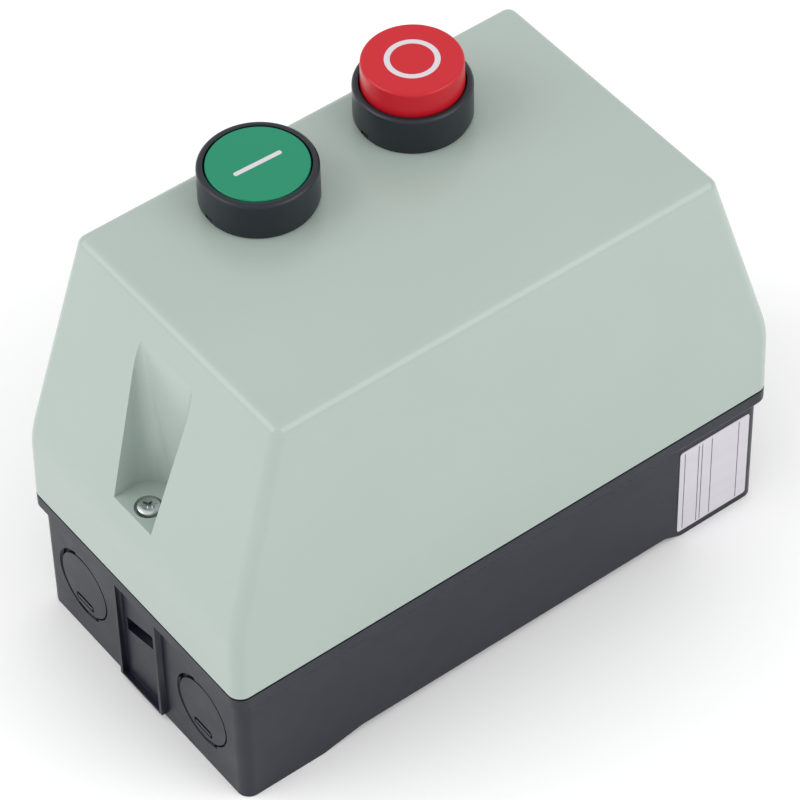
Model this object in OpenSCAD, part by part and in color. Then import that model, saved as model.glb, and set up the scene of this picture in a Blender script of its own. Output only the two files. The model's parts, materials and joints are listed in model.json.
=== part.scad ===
// Direct-on-line motor starter in a wall-mounted plastic enclosure: a contactor and a thermal
// overload relay on a rail, under a lift-off cover with a start button and a stop button.
// Millimetres, +Z up. The origin is the middle of the back, level with the feet.

/* [Enclosure] */
// Length of base and cover at the joint between them
body_l = 170; // [168:1:172]
// Width of base and cover at the joint between them
body_w = 89.4; // [89:0.1:91]
// Corner radius at the joint, seen from the front
body_r = 3.8; // [3:0.1:5]
// Height of the base, from its feet to its rim
base_h = 41.2; // [40:0.1:43]
// Wall thickness of base and cover
wall = 2.5; // [2:0.1:2.6]

/* [Base] */
// How far the base walls stand back under the rim
base_inset = 1.7; // [1.5:0.1:2]
// Height of the upright band of the rim
lip_h = 3.7; // [3:0.1:4.5]
// Height of the slope between the rim and the wall
lip_slope_h = 2.9; // [2:0.1:3.5]
// Height of the feet at both ends
foot_h = 2.3; // [2:0.1:2.5]
// Thickness of the floor
floor_t = 2.9; // [2.5:0.1:3.2]
// Spacing of the wall-mounting holes along the length
mount_x = 142; // [140:1:144]
// Spacing of the wall-mounting holes across the width
mount_y = 60; // [56:1:62]
// Diameter of the wall-mounting holes
mount_d = 5; // [4.5:0.1:5.5]
// Diameter of the cable knockouts
knockout_d = 20.4; // [20:0.1:21]
// Spacing of the two knockouts at each end
knockout_pitch = 51.9; // [50:0.1:52]
// Height of the knockout centres
knockout_z = 19.1; // [18.5:0.1:19.5]

/* [Cover] */
// Height of the cover from its lower edge to the front face
cover_h = 82.3; // [80:0.1:84]
// Height of the upright band of the cover
cover_rim_h = 21.4; // [20:0.1:23]
// Length of the flat front face
front_l = 134.5; // [132:0.5:136]
// Width of the flat front face
front_w = 82.6; // [82:0.1:84]
// Radius along the edges of the front face
front_r = 3; // [2:0.5:3]
// Gap between the rim of the base and the cover
joint_gap = 0.4; // [0.3:0.1:0.6]
// Distance of the cover screws from the middle
screw_x = 77.7; // [77:0.1:78]
// Height of the floor of the screw pockets
pocket_z = 69.3; // [68:0.1:71]
// Distance of the upright back of the screw pockets from the middle
pocket_x = 69.3; // [68.5:0.1:70]

/* [Buttons] */
// Diameter of the button bezels
bezel_d = 30.1; // [29:0.1:30.5]
// Height of the bezels above the front face
bezel_h = 11.1; // [10:0.1:12]
// Diameter of the button caps
cap_d = 26; // [25:0.1:26.2]
// Height of the stop cap above the front face
stop_cap_h = 18.1; // [17:0.1:19]
// Distance between the two buttons
button_pitch = 47; // [46:0.5:48]
// Distance of the buttons from the centre line
button_y = 24.15; // [23.5:0.05:24.2]

/* [Rating plate] */
// Length of the blank rating plate
plate_l = 23.3; // [20:0.1:23.5]
// Height of the blank rating plate
plate_h = 30.8; // [28:0.1:31]

/* [Switchgear] */
// Width of the contactor and of the overload relay
gear_w = 45; // [45:1:45]
// Length of the contactor
contactor_l = 74; // [74:1:74]
// Length of the overload relay housing
relay_l = 54; // [52:1:54]
// Distance of the switchgear from the centre line
gear_y = 8; // [7.5:0.5:8]
// Stroke of the contactor
stroke = 4; // [3:0.5:4]

/* [Hidden] */
$fn = 64;
eps = 0.01;
// running clearance between a sliding stem and its guide
run = 0.08;
// clearance of parts that only stand near each other
gap = 0.3;

// base and cover
base_l = body_l - 2 * base_inset;
base_w = body_w - 2 * base_inset;
base_r = 3.5;
floor_z = foot_h + floor_t;
cover_z = base_h + joint_gap;
fold_z = cover_z + cover_rim_h;
front_z = cover_z + cover_h;
// the upright band of the cover leans in by this much at its top
fold_lean = 0.5;
lip_z = base_h - lip_h;
// ends of the feet and of the slopes that lead to them, along X
foot_left = -59;
foot_left_top = -47;
foot_right_top = 52.7;
foot_right = 58;

// grooves of the knockouts; the step runs from one angle to the other round the groove
groove_w = 0.5;
groove_d = 1.2;
step_w = 0.65;
step_d = 0.6;
step_from = 105;
step_to = 300;
bar_z = 6.8;
bar_h = 1.4;
bar_w_outer = 6.6;

// rim seal
seal_w = 1.5;
seal_in = 1.4;
seal_d = 1.6;

// cover screws, their pillars and nuts
screw_r = 1.75;
screw_hole_r = 2.1;
screw_head_r = 3.1;
screw_head_h = 2.2;
screw_len = 48;
// round seat that the screw heads sink into
screw_seat_r = 3.7;
screw_seat_h = 1.4;
pillar_r = 4.3;
pillar_gap = 0.05;
pocket_t = 2.2;
pocket_low_w = 7.8;
pocket_high_w = 12.2;
pocket_top_z = 119;
nut_w = 7;
nut_t = 2.9;
nut_z = 23;
window_w = 6.3;
window_low_z = 22.1;
window_h = 4.8;
window_slant = 1.5;
frame_y = 8;
frame_t = 1.1;
frame_z = 1.9;
frame_bar_t = 0.7;

// buttons; heights are above the front face
start_x = -0.4 - button_pitch / 2;
stop_x = -0.4 + button_pitch / 2;
hole_r = 11.25;
neck_r = 11;
neck_low = 18;
neck_bore_r = 9;
flange_t = 2;
stem_r = 4;
stem_low = -neck_low - 2;
stem_bead = 0.7;
socket_h = 12;
rod_r = 2.5;
seal_t = 0.8;
web_t = 1.2;
peg_r = 3.5;
peg_h = 2.5;
start_cap_low = 6.2;
stop_cap_low = 8.2;
plunger_head_r = 8.6;
plunger_head_z = -2.5;
spring_r = 6.2;
spring_wire = 0.6;
ring_nut_r = 13.2;
ring_nut_t = 4;
mark_t = 0.4;
bar_l = 13.6;
bar_w = 1.3;
ring_out_r = 6.9;
ring_in_r = 5.5;

// rail and contactor
gear_x = -29;
rail_w = 35;
rail_h = 7.5;
rail_t = 1;
rail_l = 64;
rail_foot_z = 8;
rail_z = rail_foot_z + rail_h;
rail_screw_y = 26;
rail_screw_r = 1.6;
earth_x = 20;
earth_y = -32;
earth_h = 8;
earth_holes = [-8, 0, 8];
low_z = 12.5;
split_z = 50;
gear_wall = 2.5;
core_z = 19;
core_t = 12;
core_l = 44;
core_leg = 7;
core_mid = 12;
core_back = 6;
core_top = 35;
pole_gap = 0.1;
coil_h = 16;
coil_wall = 6.4;
coil_l = core_mid + 2 * coil_wall + 1;
coil_w = core_t + 2 * coil_wall + 1;
armature_h = 13;
carrier_low = core_top + stroke + armature_h;
head_z = 86;
tier_z = 74;
tier_l = 14;
poles = [-15, -5, 5, 15];
strip_z = 60;
strip_t = 1.5;
strip_w = 5;
tip_t = 0.4;
tip_r = 2;
bridge_z = strip_z + strip_t + 2 * tip_t + stroke + pole_gap;
bridge_l = 25;
carrier_w = 10;
window_in_carrier_h = 6.5;
return_spring_y = 17;
plate_room_l = 30;
plate_room_w = 40.5;
return_spring_h = 10;
terminal_x = 31;

// start contact block, above the contactor
block_l = 22;
block_w = 12;
block_h = 11;
block_stem = 4.5;
block_stem_r = 2.2;
block_wall = 1.5;
block_bar_z = 7.1;

// overload relay
relay_x = 39;
relay_low = 14;
relay_split = 52;
relay_top = 76;
reset_r = 3.6;
reset_h = 6;
relay_wall_t = 3;
dial_x = 46;
dial_y = -10;
dial_r = 6;
dial_stem_r = 2.5;
dial_pocket = 2;
link_poles = [-15, -5, 5];
bimetal_x = -6;
terminal_z = relay_split - 10;
slide_z = relay_split + 2;
reset_seat_z = relay_split + 1;
reset_low = 6;
link_t = 1.5;

// ---------------------------------------------------------------- helpers

// flat outline with round corners, centred on the origin
module plate(l, w, r) {
  square([l - 2 * r, w], center = true);
  square([l, w - 2 * r], center = true);
  for (sx = [-1, 1], sy = [-1, 1])
    translate([sx * (l / 2 - r), sy * (w / 2 - r)])
      circle(r);
}

// upright block with round corners
module slab(l, w, r, z0, z1) {
  translate([0, 0, z0])
    linear_extrude(z1 - z0)
      plate(l, w, r);
}

// plain block, centred in X and Y
module block(l, w, z0, z1) {
  translate([-l / 2, -w / 2, z0])
    cube([l, w, z1 - z0]);
}

module rod(r, z0, z1) {
  translate([0, 0, z0])
    cylinder(r = r, h = z1 - z0);
}

module tube(r_out, r_in, z0, z1) {
  difference() {
    rod(r_out, z0, z1);
    rod(r_in, z0 - 1, z1 + 1);
  }
}

// an outline in X and Z, carried along Y and centred on y = 0
module along_y(w) {
  translate([0, w / 2, 0])
    rotate([90, 0, 0])
      linear_extrude(w)
        children();
}

// an outline in Y and Z, carried from x0 to x1
module along_x(x0, x1) {
  translate([x0, 0, 0])
    rotate([90, 0, 90])
      linear_extrude(x1 - x0)
        children();
}

module both_ends() {
  for (side = [0, 1])
    mirror([side, 0, 0])
      children();
}

// coil spring with its axis on Z, as one closed sweep
function coil_point(a, b, r, wire, h, turns) =
  let (t = a / (12 * turns), turn = a * 30, rr = r + wire * cos(b))
    [rr * cos(turn), rr * sin(turn), wire + (h - 2 * wire) * t + wire * sin(b)];
module coil_spring(r, wire, h, turns) {
  rings = 12 * turns;
  sides = 6;
  points = [for (a = [0:rings], s = [0:sides - 1]) coil_point(a, s * 360 / sides, r, wire, h, turns)];
  skin = [for (a = [0:rings - 1], s = [0:sides - 1])
    [a * sides + s, (a + 1) * sides + s, (a + 1) * sides + (s + 1) % sides, a * sides + (s + 1) % sides]];
  low_end = [for (s = [0:sides - 1]) s];
  high_end = [for (s = [sides - 1:-1:0]) rings * sides + s];
  polyhedron(points, concat([low_end, high_end], skin), convexity = 8);
}

// pan-head screw with a cross recess, its head standing on z = 0
module pan_screw(head_r, head_h, shank_r, len) {
  difference() {
    union() {
      rod(head_r, 0, head_h);
      rod(shank_r, -len, eps);
    }
    for (turn = [0, 90])
      rotate([0, 0, turn])
        block(head_r * 1.2, 0.7, head_h - 0.9, head_h + 1);
  }
}

module at_start() {
  translate([start_x, button_y, front_z])
    children();
}

module at_stop() {
  translate([stop_x, button_y, front_z])
    children();
}

module at_contactor() {
  translate([gear_x, gear_y, 0])
    children();
}

module at_relay() {
  translate([relay_x, gear_y, 0])
    children();
}

// ---------------------------------------------------------------- base

// groove round a knockout, a wider step along part of it, and a small bar for a screwdriver;
// drawn with the height of the wall along X and its width along Y, outwards along Z
module knockout_cut() {
  groove_r = knockout_d / 2;
  rotate([0, -90, 0]) {
    tube(groove_r, groove_r - groove_w, -groove_d, 1);
    intersection() {
      tube(groove_r + step_w, groove_r - groove_w, -step_d, 1);
      translate([0, 0, -1])
        linear_extrude(3)
          polygon(concat([[0, 0]], [for (a = [step_from:15:step_to]) 15 * [sin(a), -cos(a)]]));
    }
    translate([-bar_z, 0.35, 0])
      difference() {
        slab(bar_h + 2 * groove_w, bar_w_outer + 2 * groove_w, 0.9, -step_d, 1);
        slab(bar_h, bar_w_outer, 0.6, -step_d - 1, 2);
      }
  }
}

// U-shaped frame at the middle of an end wall
module end_frame() {
  leg_h = lip_z - frame_z;
  for (side = [0, 1])
    mirror([0, side, 0])
      translate([-body_l / 2, frame_y, frame_z])
        cube([base_inset + wall / 2, frame_t, leg_h]);
  translate([-body_l / 2, -frame_y, frame_z])
    cube([base_inset + wall / 2, 2 * frame_y, frame_bar_t]);
}

// pocket for the nut of a cover screw, open through the end wall
module nut_window() {
  along_x(-body_l / 2 - 1, -screw_x + nut_w / 2 + 0.4)
    polygon([
      [window_w, window_low_z - window_slant],
      [window_w, window_low_z + window_h - window_slant],
      [-window_w, window_low_z + window_h + window_slant],
      [-window_w, window_low_z + window_slant]
    ]);
}

module base_shell() {
  slab(base_l, base_w, base_r, 0, lip_z + eps);
  slab(body_l, body_w, body_r, lip_z, base_h);
  hull() {
    slab(body_l, body_w, body_r, lip_z, lip_z + eps, $fn = 32);
    slab(base_l, base_w, base_r, lip_z - lip_slope_h, lip_z - lip_slope_h + eps, $fn = 32);
  }
}

// space inside the base, round its two pillars and the pads under the rail
module base_inside() {
  nut_block_x = screw_x - nut_w / 2 - 2.2;
  nut_block_l = 20;
  difference() {
    slab(base_l - 2 * wall, base_w - 2 * wall, base_r - 1, floor_z, base_h + 1);
    both_ends() {
      translate([-screw_x, 0, 0])
        rod(pillar_r, 0, base_h + 2);
      translate([-nut_block_x - nut_block_l, -window_w - wall, 0])
        cube([nut_block_l, 2 * (window_w + wall), window_low_z + window_h + window_slant + 2]);
    }
    at_contactor()
      for (side = [-1, 1])
        translate([0, side * rail_screw_y, 0])
          block(26, 9, 0, rail_foot_z);
  }
}

module base_housing() {
  color([0.16, 0.165, 0.18])
    difference() {
      union() {
        base_shell();
        both_ends()
          end_frame();
      }
      base_inside();
      // the middle of the back stands clear of the wall between the feet
      along_y(body_w + 2)
        polygon([[foot_left, -1], [foot_left, 0], [foot_left_top, foot_h],
          [foot_right_top, foot_h], [foot_right, 0], [foot_right, -1]]);
      // groove for the rim seal
      difference() {
        slab(body_l - 2 * seal_in, body_w - 2 * seal_in, body_r - seal_in, base_h - seal_d, base_h + 1);
        slab(body_l - 2 * (seal_in + seal_w), body_w - 2 * (seal_in + seal_w), 1.2,
          base_h - seal_d - 1, base_h + 2);
      }
      both_ends() {
        translate([-screw_x, 0, 0])
          rod(screw_hole_r, floor_z + 12, base_h + 1);
        nut_window();
        for (side = [-1, 1])
          translate([-base_l / 2, side * knockout_pitch / 2, knockout_z])
            knockout_cut();
      }
      for (sx = [-1, 1], sy = [-1, 1])
        translate([sx * mount_x / 2, sy * mount_y / 2, 0])
          rod(mount_d / 2, -1, floor_z + 1);
      at_contactor()
        for (side = [-1, 1])
          translate([0, side * rail_screw_y, 0])
            rod(rail_screw_r, foot_h + 1, rail_foot_z + 1);
    }
}

module rim_gasket() {
  side_gap = 0.05;
  color([0.05, 0.05, 0.05])
    difference() {
      slab(body_l - 2 * seal_in - 2 * side_gap, body_w - 2 * seal_in - 2 * side_gap,
        body_r - seal_in, base_h - seal_d, cover_z - side_gap);
      slab(body_l - 2 * (seal_in + seal_w) + 2 * side_gap, body_w - 2 * (seal_in + seal_w) + 2 * side_gap,
        1.2, base_h - seal_d - 1, base_h + 2);
    }
}

module cover_nuts() {
  color([0.72, 0.66, 0.42])
    both_ends()
      translate([-screw_x, 0, 0])
        difference() {
          block(nut_w, nut_w, nut_z, nut_z + nut_t);
          rod(screw_r + gap, nut_z - 1, nut_z + nut_t + 1);
        }
}

module rating_plate() {
  right_x = base_l / 2 - base_r;
  color([0.82, 0.83, 0.84])
    translate([right_x - plate_l, -base_w / 2 - 0.25, 2.3])
      cube([plate_l, 0.25, plate_h]);
}

module din_rail() {
  top_w = rail_w / 2;
  web_w = top_w - 5;
  color([0.75, 0.76, 0.78])
    at_contactor()
      difference() {
        along_y(rail_l)
          polygon([
            [-top_w, rail_z], [-top_w, rail_z - rail_t], [-web_w - rail_t, rail_z - rail_t],
            [-web_w - rail_t, rail_foot_z], [web_w + rail_t, rail_foot_z],
            [web_w + rail_t, rail_z - rail_t], [top_w, rail_z - rail_t], [top_w, rail_z],
            [web_w, rail_z], [web_w, rail_foot_z + rail_t],
            [-web_w, rail_foot_z + rail_t], [-web_w, rail_z]
          ]);
        for (side = [-1, 1])
          translate([0, side * rail_screw_y, 0])
            rod(2.2, rail_foot_z - 1, rail_foot_z + rail_t + 1);
      }
}

module rail_screws() {
  color([0.75, 0.76, 0.78])
    at_contactor()
      for (side = [-1, 1])
        translate([0, side * rail_screw_y, rail_foot_z + rail_t])
          pan_screw(3.4, 2.2, rail_screw_r, 4.5);
}

module earth_bar() {
  color([0.80, 0.66, 0.30])
    translate([earth_x, earth_y, floor_z])
      difference() {
        block(26, 9, 0, earth_h);
        for (x = earth_holes)
          translate([x, 0, 0]) {
            rod(2, earth_h / 2 - 1, earth_h + 1);
            translate([0, 0, earth_h / 2 - 1])
              rotate([90, 0, 0])
                cylinder(r = 1.9, h = 12, center = true);
          }
      }
}

module earth_screw() {
  color([0.75, 0.76, 0.78])
    translate([earth_x, earth_y, floor_z + earth_h])
      for (x = earth_holes)
        translate([x, 0, 0])
          difference() {
            union() {
              rod(3, 0, 2);
              rod(1.9, -3, eps);
            }
            block(7, 0.8, 1, 3);
          }
}

// ---------------------------------------------------------------- cover

// one closed body through the lower edge, the fold and the front face, smaller by t all round
module cover_body(t) {
  fold_l = body_l - 2 * fold_lean;
  hull() {
    for (sx = [-1, 1], sy = [-1, 1]) {
      translate([sx * (body_l / 2 - body_r), sy * (body_w / 2 - body_r), cover_z])
        cylinder(r = body_r - t, h = 0.1, $fn = 32);
      translate([sx * (fold_l / 2 - body_r), sy * (body_w / 2 - body_r), fold_z - t / 4])
        cylinder(r = body_r - t, h = 0.1, $fn = 32);
      translate([sx * (front_l / 2 - front_r), sy * (front_w / 2 - front_r), front_z - front_r])
        sphere(r = front_r - min(t, front_r - 0.4), $fn = 32);
    }
  }
}

// wedge-shaped pocket for a cover screw, wider by t all round
module pocket(t, low_z) {
  along_x(-body_l, -pocket_x + t)
    polygon([[-pocket_low_w - t, low_z], [pocket_low_w + t, low_z],
      [pocket_high_w + t, pocket_top_z + t], [-pocket_high_w - t, pocket_top_z + t]]);
}

module top_cover() {
  color([0.73, 0.785, 0.75])
    difference() {
      union() {
        difference() {
          cover_body(0);
          cover_body(wall);
          translate([0, 0, cover_z])
            block(body_l - 2 * wall, body_w - 2 * wall - 1, -1, 1);
        }
        intersection() {
          cover_body(0);
          both_ends()
            difference() {
              pocket(pocket_t, pocket_z - pocket_t);
              pocket(0, pocket_z);
            }
        }
        both_ends()
          translate([-screw_x, 0, 0])
            rod(pillar_r, base_h + pillar_gap, pocket_z);
      }
      both_ends() {
        pocket(0, pocket_z);
        translate([-screw_x, 0, 0]) {
          rod(screw_hole_r, cover_z - 1, pocket_z + 1);
          rod(screw_seat_r, pocket_z - screw_seat_h, pocket_z + 1);
        }
      }
      for (x = [start_x, stop_x])
        translate([x, button_y, front_z])
          rod(hole_r, -wall - 3, 1);
    }
}

module cover_screws() {
  color([0.75, 0.76, 0.78])
    both_ends()
      translate([-screw_x, 0, pocket_z - screw_seat_h])
        pan_screw(screw_head_r, screw_head_h, screw_r, screw_len);
}

// ---------------------------------------------------------------- buttons

// collar round a cap with its threaded neck; heights are above the front face
module bezel() {
  difference() {
    union() {
      rod(bezel_d / 2, seal_t, bezel_h);
      rod(neck_r, -neck_low, seal_t + eps);
    }
    rod(cap_d / 2 + gap, seal_t + web_t, bezel_h + 1);
    rod(neck_bore_r, flange_t - neck_low, bezel_h);
    rod(stem_r + run, -neck_low - 1, 0);
    // locating notch at the foot
    translate([-bezel_d / 2, 0, seal_t])
      block(1.6, 2.8, -1, 1.3);
  }
}

module start_bezel() {
  color([0.17, 0.18, 0.20])
    at_start()
      bezel();
}

module stop_bezel() {
  color([0.17, 0.18, 0.20])
    at_stop()
      bezel();
}

module bezel_seals() {
  color([0.06, 0.06, 0.06])
    for (x = [start_x, stop_x])
      translate([x, button_y, front_z])
        tube(bezel_d / 2 - 0.4, hole_r, 0, seal_t);
}

module bezel_nuts() {
  color([0.20, 0.21, 0.23])
    for (x = [start_x, stop_x])
      translate([x, button_y, front_z - wall - ring_nut_t - 0.1])
        difference() {
          union() {
            rod(ring_nut_r - 0.8, 0, ring_nut_t);
            for (turn = [0:30:330])
              rotate([0, 0, turn])
                block(2 * ring_nut_r, 3, 0, ring_nut_t);
          }
          rod(neck_r + 0.04, -1, ring_nut_t + 1);
        }
}

// flat-topped cap, a little rounded at its edge
module cap(low, high) {
  edge = 0.8;
  translate([0, 0, low])
    rotate_extrude()
      union() {
        square([cap_d / 2 - edge, high - low]);
        square([cap_d / 2, high - low - edge]);
        translate([cap_d / 2 - edge, high - low - edge])
          circle(edge, $fn = 24);
      }
}

module start_mark_shape(t) {
  rotate([0, 0, -2])
    block(bar_l, bar_w, bezel_h - t, bezel_h);
}

module stop_mark_shape(t) {
  tube(ring_out_r, ring_in_r, stop_cap_h - t, stop_cap_h);
}

module start_cap() {
  color([0.05, 0.50, 0.33])
    at_start()
      difference() {
        cap(start_cap_low, bezel_h);
        start_mark_shape(mark_t);
        rod(peg_r, start_cap_low - 1, start_cap_low + peg_h);
      }
}

module start_mark() {
  color([0.95, 0.95, 0.95])
    at_start()
      start_mark_shape(mark_t);
}

module stop_cap() {
  color([0.80, 0.10, 0.14])
    at_stop()
      difference() {
        cap(stop_cap_low, stop_cap_h);
        stop_mark_shape(mark_t);
        rod(peg_r, stop_cap_low - 1, stop_cap_low + peg_h);
      }
}

module stop_mark() {
  color([0.95, 0.95, 0.95])
    at_stop()
      stop_mark_shape(mark_t);
}

// stem under a cap: a peg in the cap, a wide head, and a guide stem with a socket for the rod;
// the bead at its foot holds it in the neck
module plunger(cap_low) {
  difference() {
    union() {
      rod(peg_r, cap_low - eps, cap_low + peg_h);
      rod(plunger_head_r, plunger_head_z, cap_low);
      rod(stem_r, stem_low, plunger_head_z + eps);
      rod(stem_r + stem_bead, stem_low, -neck_low - pole_gap);
    }
    rod(rod_r, stem_low - 1, stem_low + socket_h);
  }
}

module push_rod(low_z) {
  rod(rod_r, low_z, front_z + stem_low + socket_h);
}

module button_spring() {
  translate([0, 0, flange_t - neck_low])
    coil_spring(spring_r, spring_wire, plunger_head_z - flange_t + neck_low, 6);
}

module start_plunger() {
  color([0.88, 0.88, 0.86])
    at_start()
      plunger(start_cap_low);
}

module stop_plunger() {
  color([0.88, 0.88, 0.86])
    at_stop()
      plunger(stop_cap_low);
}

module start_rod() {
  color([0.90, 0.90, 0.88])
    translate([start_x, button_y, 0])
      push_rod(head_z + block_h + block_stem + gap);
}

module stop_rod() {
  color([0.90, 0.90, 0.88])
    translate([stop_x, button_y, 0])
      push_rod(relay_top + reset_h + gap);
}

module start_spring() {
  color([0.78, 0.79, 0.80])
    at_start()
      button_spring();
}

module stop_spring() {
  color([0.78, 0.79, 0.80])
    at_stop()
      button_spring();
}

// ---------------------------------------------------------------- contactor

module contactor_base() {
  hook = rail_w / 2 + 0.3;
  color([0.93, 0.93, 0.91])
    at_contactor()
      difference() {
        block(contactor_l, gear_w, low_z, split_z);
        // room for the magnet and the coil
        block(core_l + 2, coil_w + 1, core_z, split_z + 1);
        // recess for the plate of the carrier
        block(plate_room_l, plate_room_w, split_z - 3, split_z + 1);
        // shafts of the return springs
        for (side = [-1, 1])
          translate([0, side * return_spring_y, 0])
            rod(2.9, carrier_low - return_spring_h, split_z + 1);
        // channel that grips the rail
        along_y(gear_w + 2)
          polygon([[-hook, rail_z + 0.1], [-hook, rail_z - rail_t - 0.2], [-hook + 3, rail_z - rail_t - 0.2],
            [-hook + 3, low_z - 1], [hook - 3, low_z - 1], [hook - 3, rail_z - rail_t - 0.2],
            [hook, rail_z - rail_t - 0.2], [hook, rail_z + 0.1]]);
      }
}

// E-shaped stack of laminations, standing on z = 0
module e_core(leg_top) {
  along_y(core_t)
    difference() {
      translate([-core_l / 2, 0])
        square([core_l, leg_top]);
      for (side = [0, 1])
        mirror([side, 0])
          translate([core_mid / 2, core_back])
            square([core_l / 2 - core_mid / 2 - core_leg, leg_top]);
    }
}

module magnet_core() {
  color([0.55, 0.56, 0.58])
    at_contactor()
      translate([0, 0, core_z])
        e_core(core_top - core_z);
}

module shading_rings() {
  color([0.80, 0.50, 0.30])
    at_contactor()
      for (side = [-1, 1])
        translate([side * (core_l - core_leg) / 2, 0, 0])
          difference() {
            block(core_leg + 1.6, core_t + 1.6, core_top - 4, core_top - 2.5);
            block(core_leg, core_t, core_top - 5, core_top);
          }
}

module armature() {
  color([0.55, 0.56, 0.58])
    at_contactor()
      translate([0, 0, carrier_low])
        mirror([0, 0, 1])
          e_core(armature_h - pole_gap);
}

// winding between the two flanges of its bobbin
module coil() {
  flange = 1.5;
  color([0.30, 0.20, 0.12])
    at_contactor()
      translate([0, 0, core_z + core_back])
        difference() {
          union() {
            block(coil_l, coil_w, 0, flange);
            block(coil_l - 2, coil_w - 2, 0, coil_h);
            block(coil_l, coil_w, coil_h - flange, coil_h);
          }
          block(core_mid + 1, core_t + 1, -1, coil_h + 1);
        }
}

module contact_carrier() {
  color([0.15, 0.13, 0.12])
    at_contactor()
      difference() {
        union() {
          block(24, 38, carrier_low, carrier_low + 3);
          block(carrier_w, 38, carrier_low + 3, bridge_z + 8);
          block(carrier_w, 12, bridge_z + 8, head_z - 0.5);
        }
        // windows that the bridges rest in
        for (y = poles)
          translate([0, y, 0])
            block(carrier_w + 2, strip_w + 0.8, bridge_z, bridge_z + window_in_carrier_h);
      }
}

module moving_contacts() {
  color([0.80, 0.52, 0.34])
    at_contactor()
      for (y = poles)
        translate([0, y, 0]) {
          block(bridge_l, strip_w, bridge_z, bridge_z + strip_t);
          for (side = [-1, 1])
            translate([side * (bridge_l / 2 - 2.5), 0, 0])
              rod(tip_r, bridge_z - tip_t, bridge_z + eps);
        }
}

// one spring over each bridge, in the window of the carrier
module contact_springs() {
  color([0.78, 0.79, 0.80])
    at_contactor()
      for (y = poles)
        translate([0, y, bridge_z + strip_t])
          coil_spring(1.7, 0.25, window_in_carrier_h - strip_t, 3);
}

module return_springs() {
  color([0.78, 0.79, 0.80])
    at_contactor()
      for (side = [-1, 1])
        translate([0, side * return_spring_y, carrier_low - return_spring_h])
          coil_spring(2, 0.3, return_spring_h, 5);
}

module contactor_head() {
  half = contactor_l / 2;
  color([0.90, 0.90, 0.88])
    at_contactor()
      difference() {
        along_y(gear_w)
          polygon([[-half, split_z], [half, split_z], [half, tier_z], [half - tier_l, tier_z],
            [half - tier_l, head_z], [tier_l - half, head_z], [tier_l - half, tier_z], [-half, tier_z]]);
        // room for the armature, the carrier and the bridges
        block(core_l + 2, core_t + 4, split_z - 1, carrier_low + 1);
        block(plate_room_l, plate_room_w, split_z - 1, carrier_low + 5);
        block(carrier_w + 2, plate_room_w, split_z, bridge_z + 9);
        for (y = poles)
          translate([0, y, 0]) {
            block(bridge_l + 3, strip_w + 1.6, strip_z - 1, bridge_z + 5);
            block(contactor_l + 2, strip_w + 1.6, strip_z, strip_z + strip_t + 0.1);
            for (side = [-1, 1])
              translate([side * (terminal_x + 2), 0, 0])
                block(10, 7.2, strip_z, tier_z + 1);
          }
        block(carrier_w + 2, 13, bridge_z, head_z + 1);
      }
}

module fixed_contacts() {
  inner = bridge_l / 2 - 5;
  color([0.80, 0.52, 0.34])
    at_contactor()
      for (y = poles, side = [0, 1])
        mirror([side, 0, 0])
          translate([0, y, 0]) {
            translate([inner, -strip_w / 2, strip_z])
              cube([contactor_l / 2 - inner, strip_w, strip_t]);
            translate([bridge_l / 2 - 2.5, 0, 0])
              rod(tip_r, strip_z + strip_t - eps, strip_z + strip_t + tip_t);
          }
}

// screw and square washer of a terminal, the washer's lower face on z = 0
module terminal_screw() {
  difference() {
    union() {
      block(6.4, 6.4, 0, 1);
      rod(2.9, 1, 3.4);
    }
    block(7, 0.8, 2.4, 4);
  }
}

// the three terminals next to the relay hold its links under their washers
module contactor_screws() {
  link = link_t + 0.1;
  color([0.75, 0.76, 0.78])
    at_contactor()
      for (y = poles, side = [-1, 1])
        translate([side * (terminal_x + 1.5), y, strip_z + strip_t + (side > 0 && y < 15 ? link : 0)])
          terminal_screw();
}

module start_block() {
  color([0.20, 0.21, 0.23])
    translate([start_x, button_y, head_z])
      difference() {
        block(block_l, block_w, 0, block_h);
        block(block_l - 4, block_w - 4, block_wall, block_h - 2);
        rod(block_stem_r + run, block_h - 3, block_h + 1);
      }
}

module start_block_plunger() {
  color([0.90, 0.90, 0.88])
    translate([start_x, button_y, head_z])
      union() {
        rod(block_stem_r, block_bar_z, block_h + block_stem);
        block(block_l - 6, 4, block_bar_z, block_bar_z + 1.6);
      }
}

module start_block_spring() {
  color([0.78, 0.79, 0.80])
    translate([start_x, button_y, head_z + block_wall])
      coil_spring(1.6, 0.15, block_bar_z - block_wall, 4);
}

// ---------------------------------------------------------------- overload relay

module relay_base() {
  half = relay_l / 2;
  floor_top = relay_low + relay_wall_t;
  color([0.20, 0.21, 0.23])
    at_relay() {
      difference() {
        block(relay_l, gear_w, relay_low, relay_split);
        block(relay_l - 16, gear_w - 2 * gear_wall, floor_top, relay_split + 1);
        for (y = link_poles)
          translate([half - 6, y, 0])
            block(16, 7, terminal_z, relay_split + 1);
      }
      // two rests for the trip slide
      for (y = [-19, 11])
        translate([-2, y, 0])
          block(3.6, 2, floor_top - eps, slide_z);
      // seat of the reset spring
      translate([stop_x - relay_x, button_y - gear_y, 0])
        rod(3, floor_top - eps, reset_seat_z);
    }
}

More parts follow.
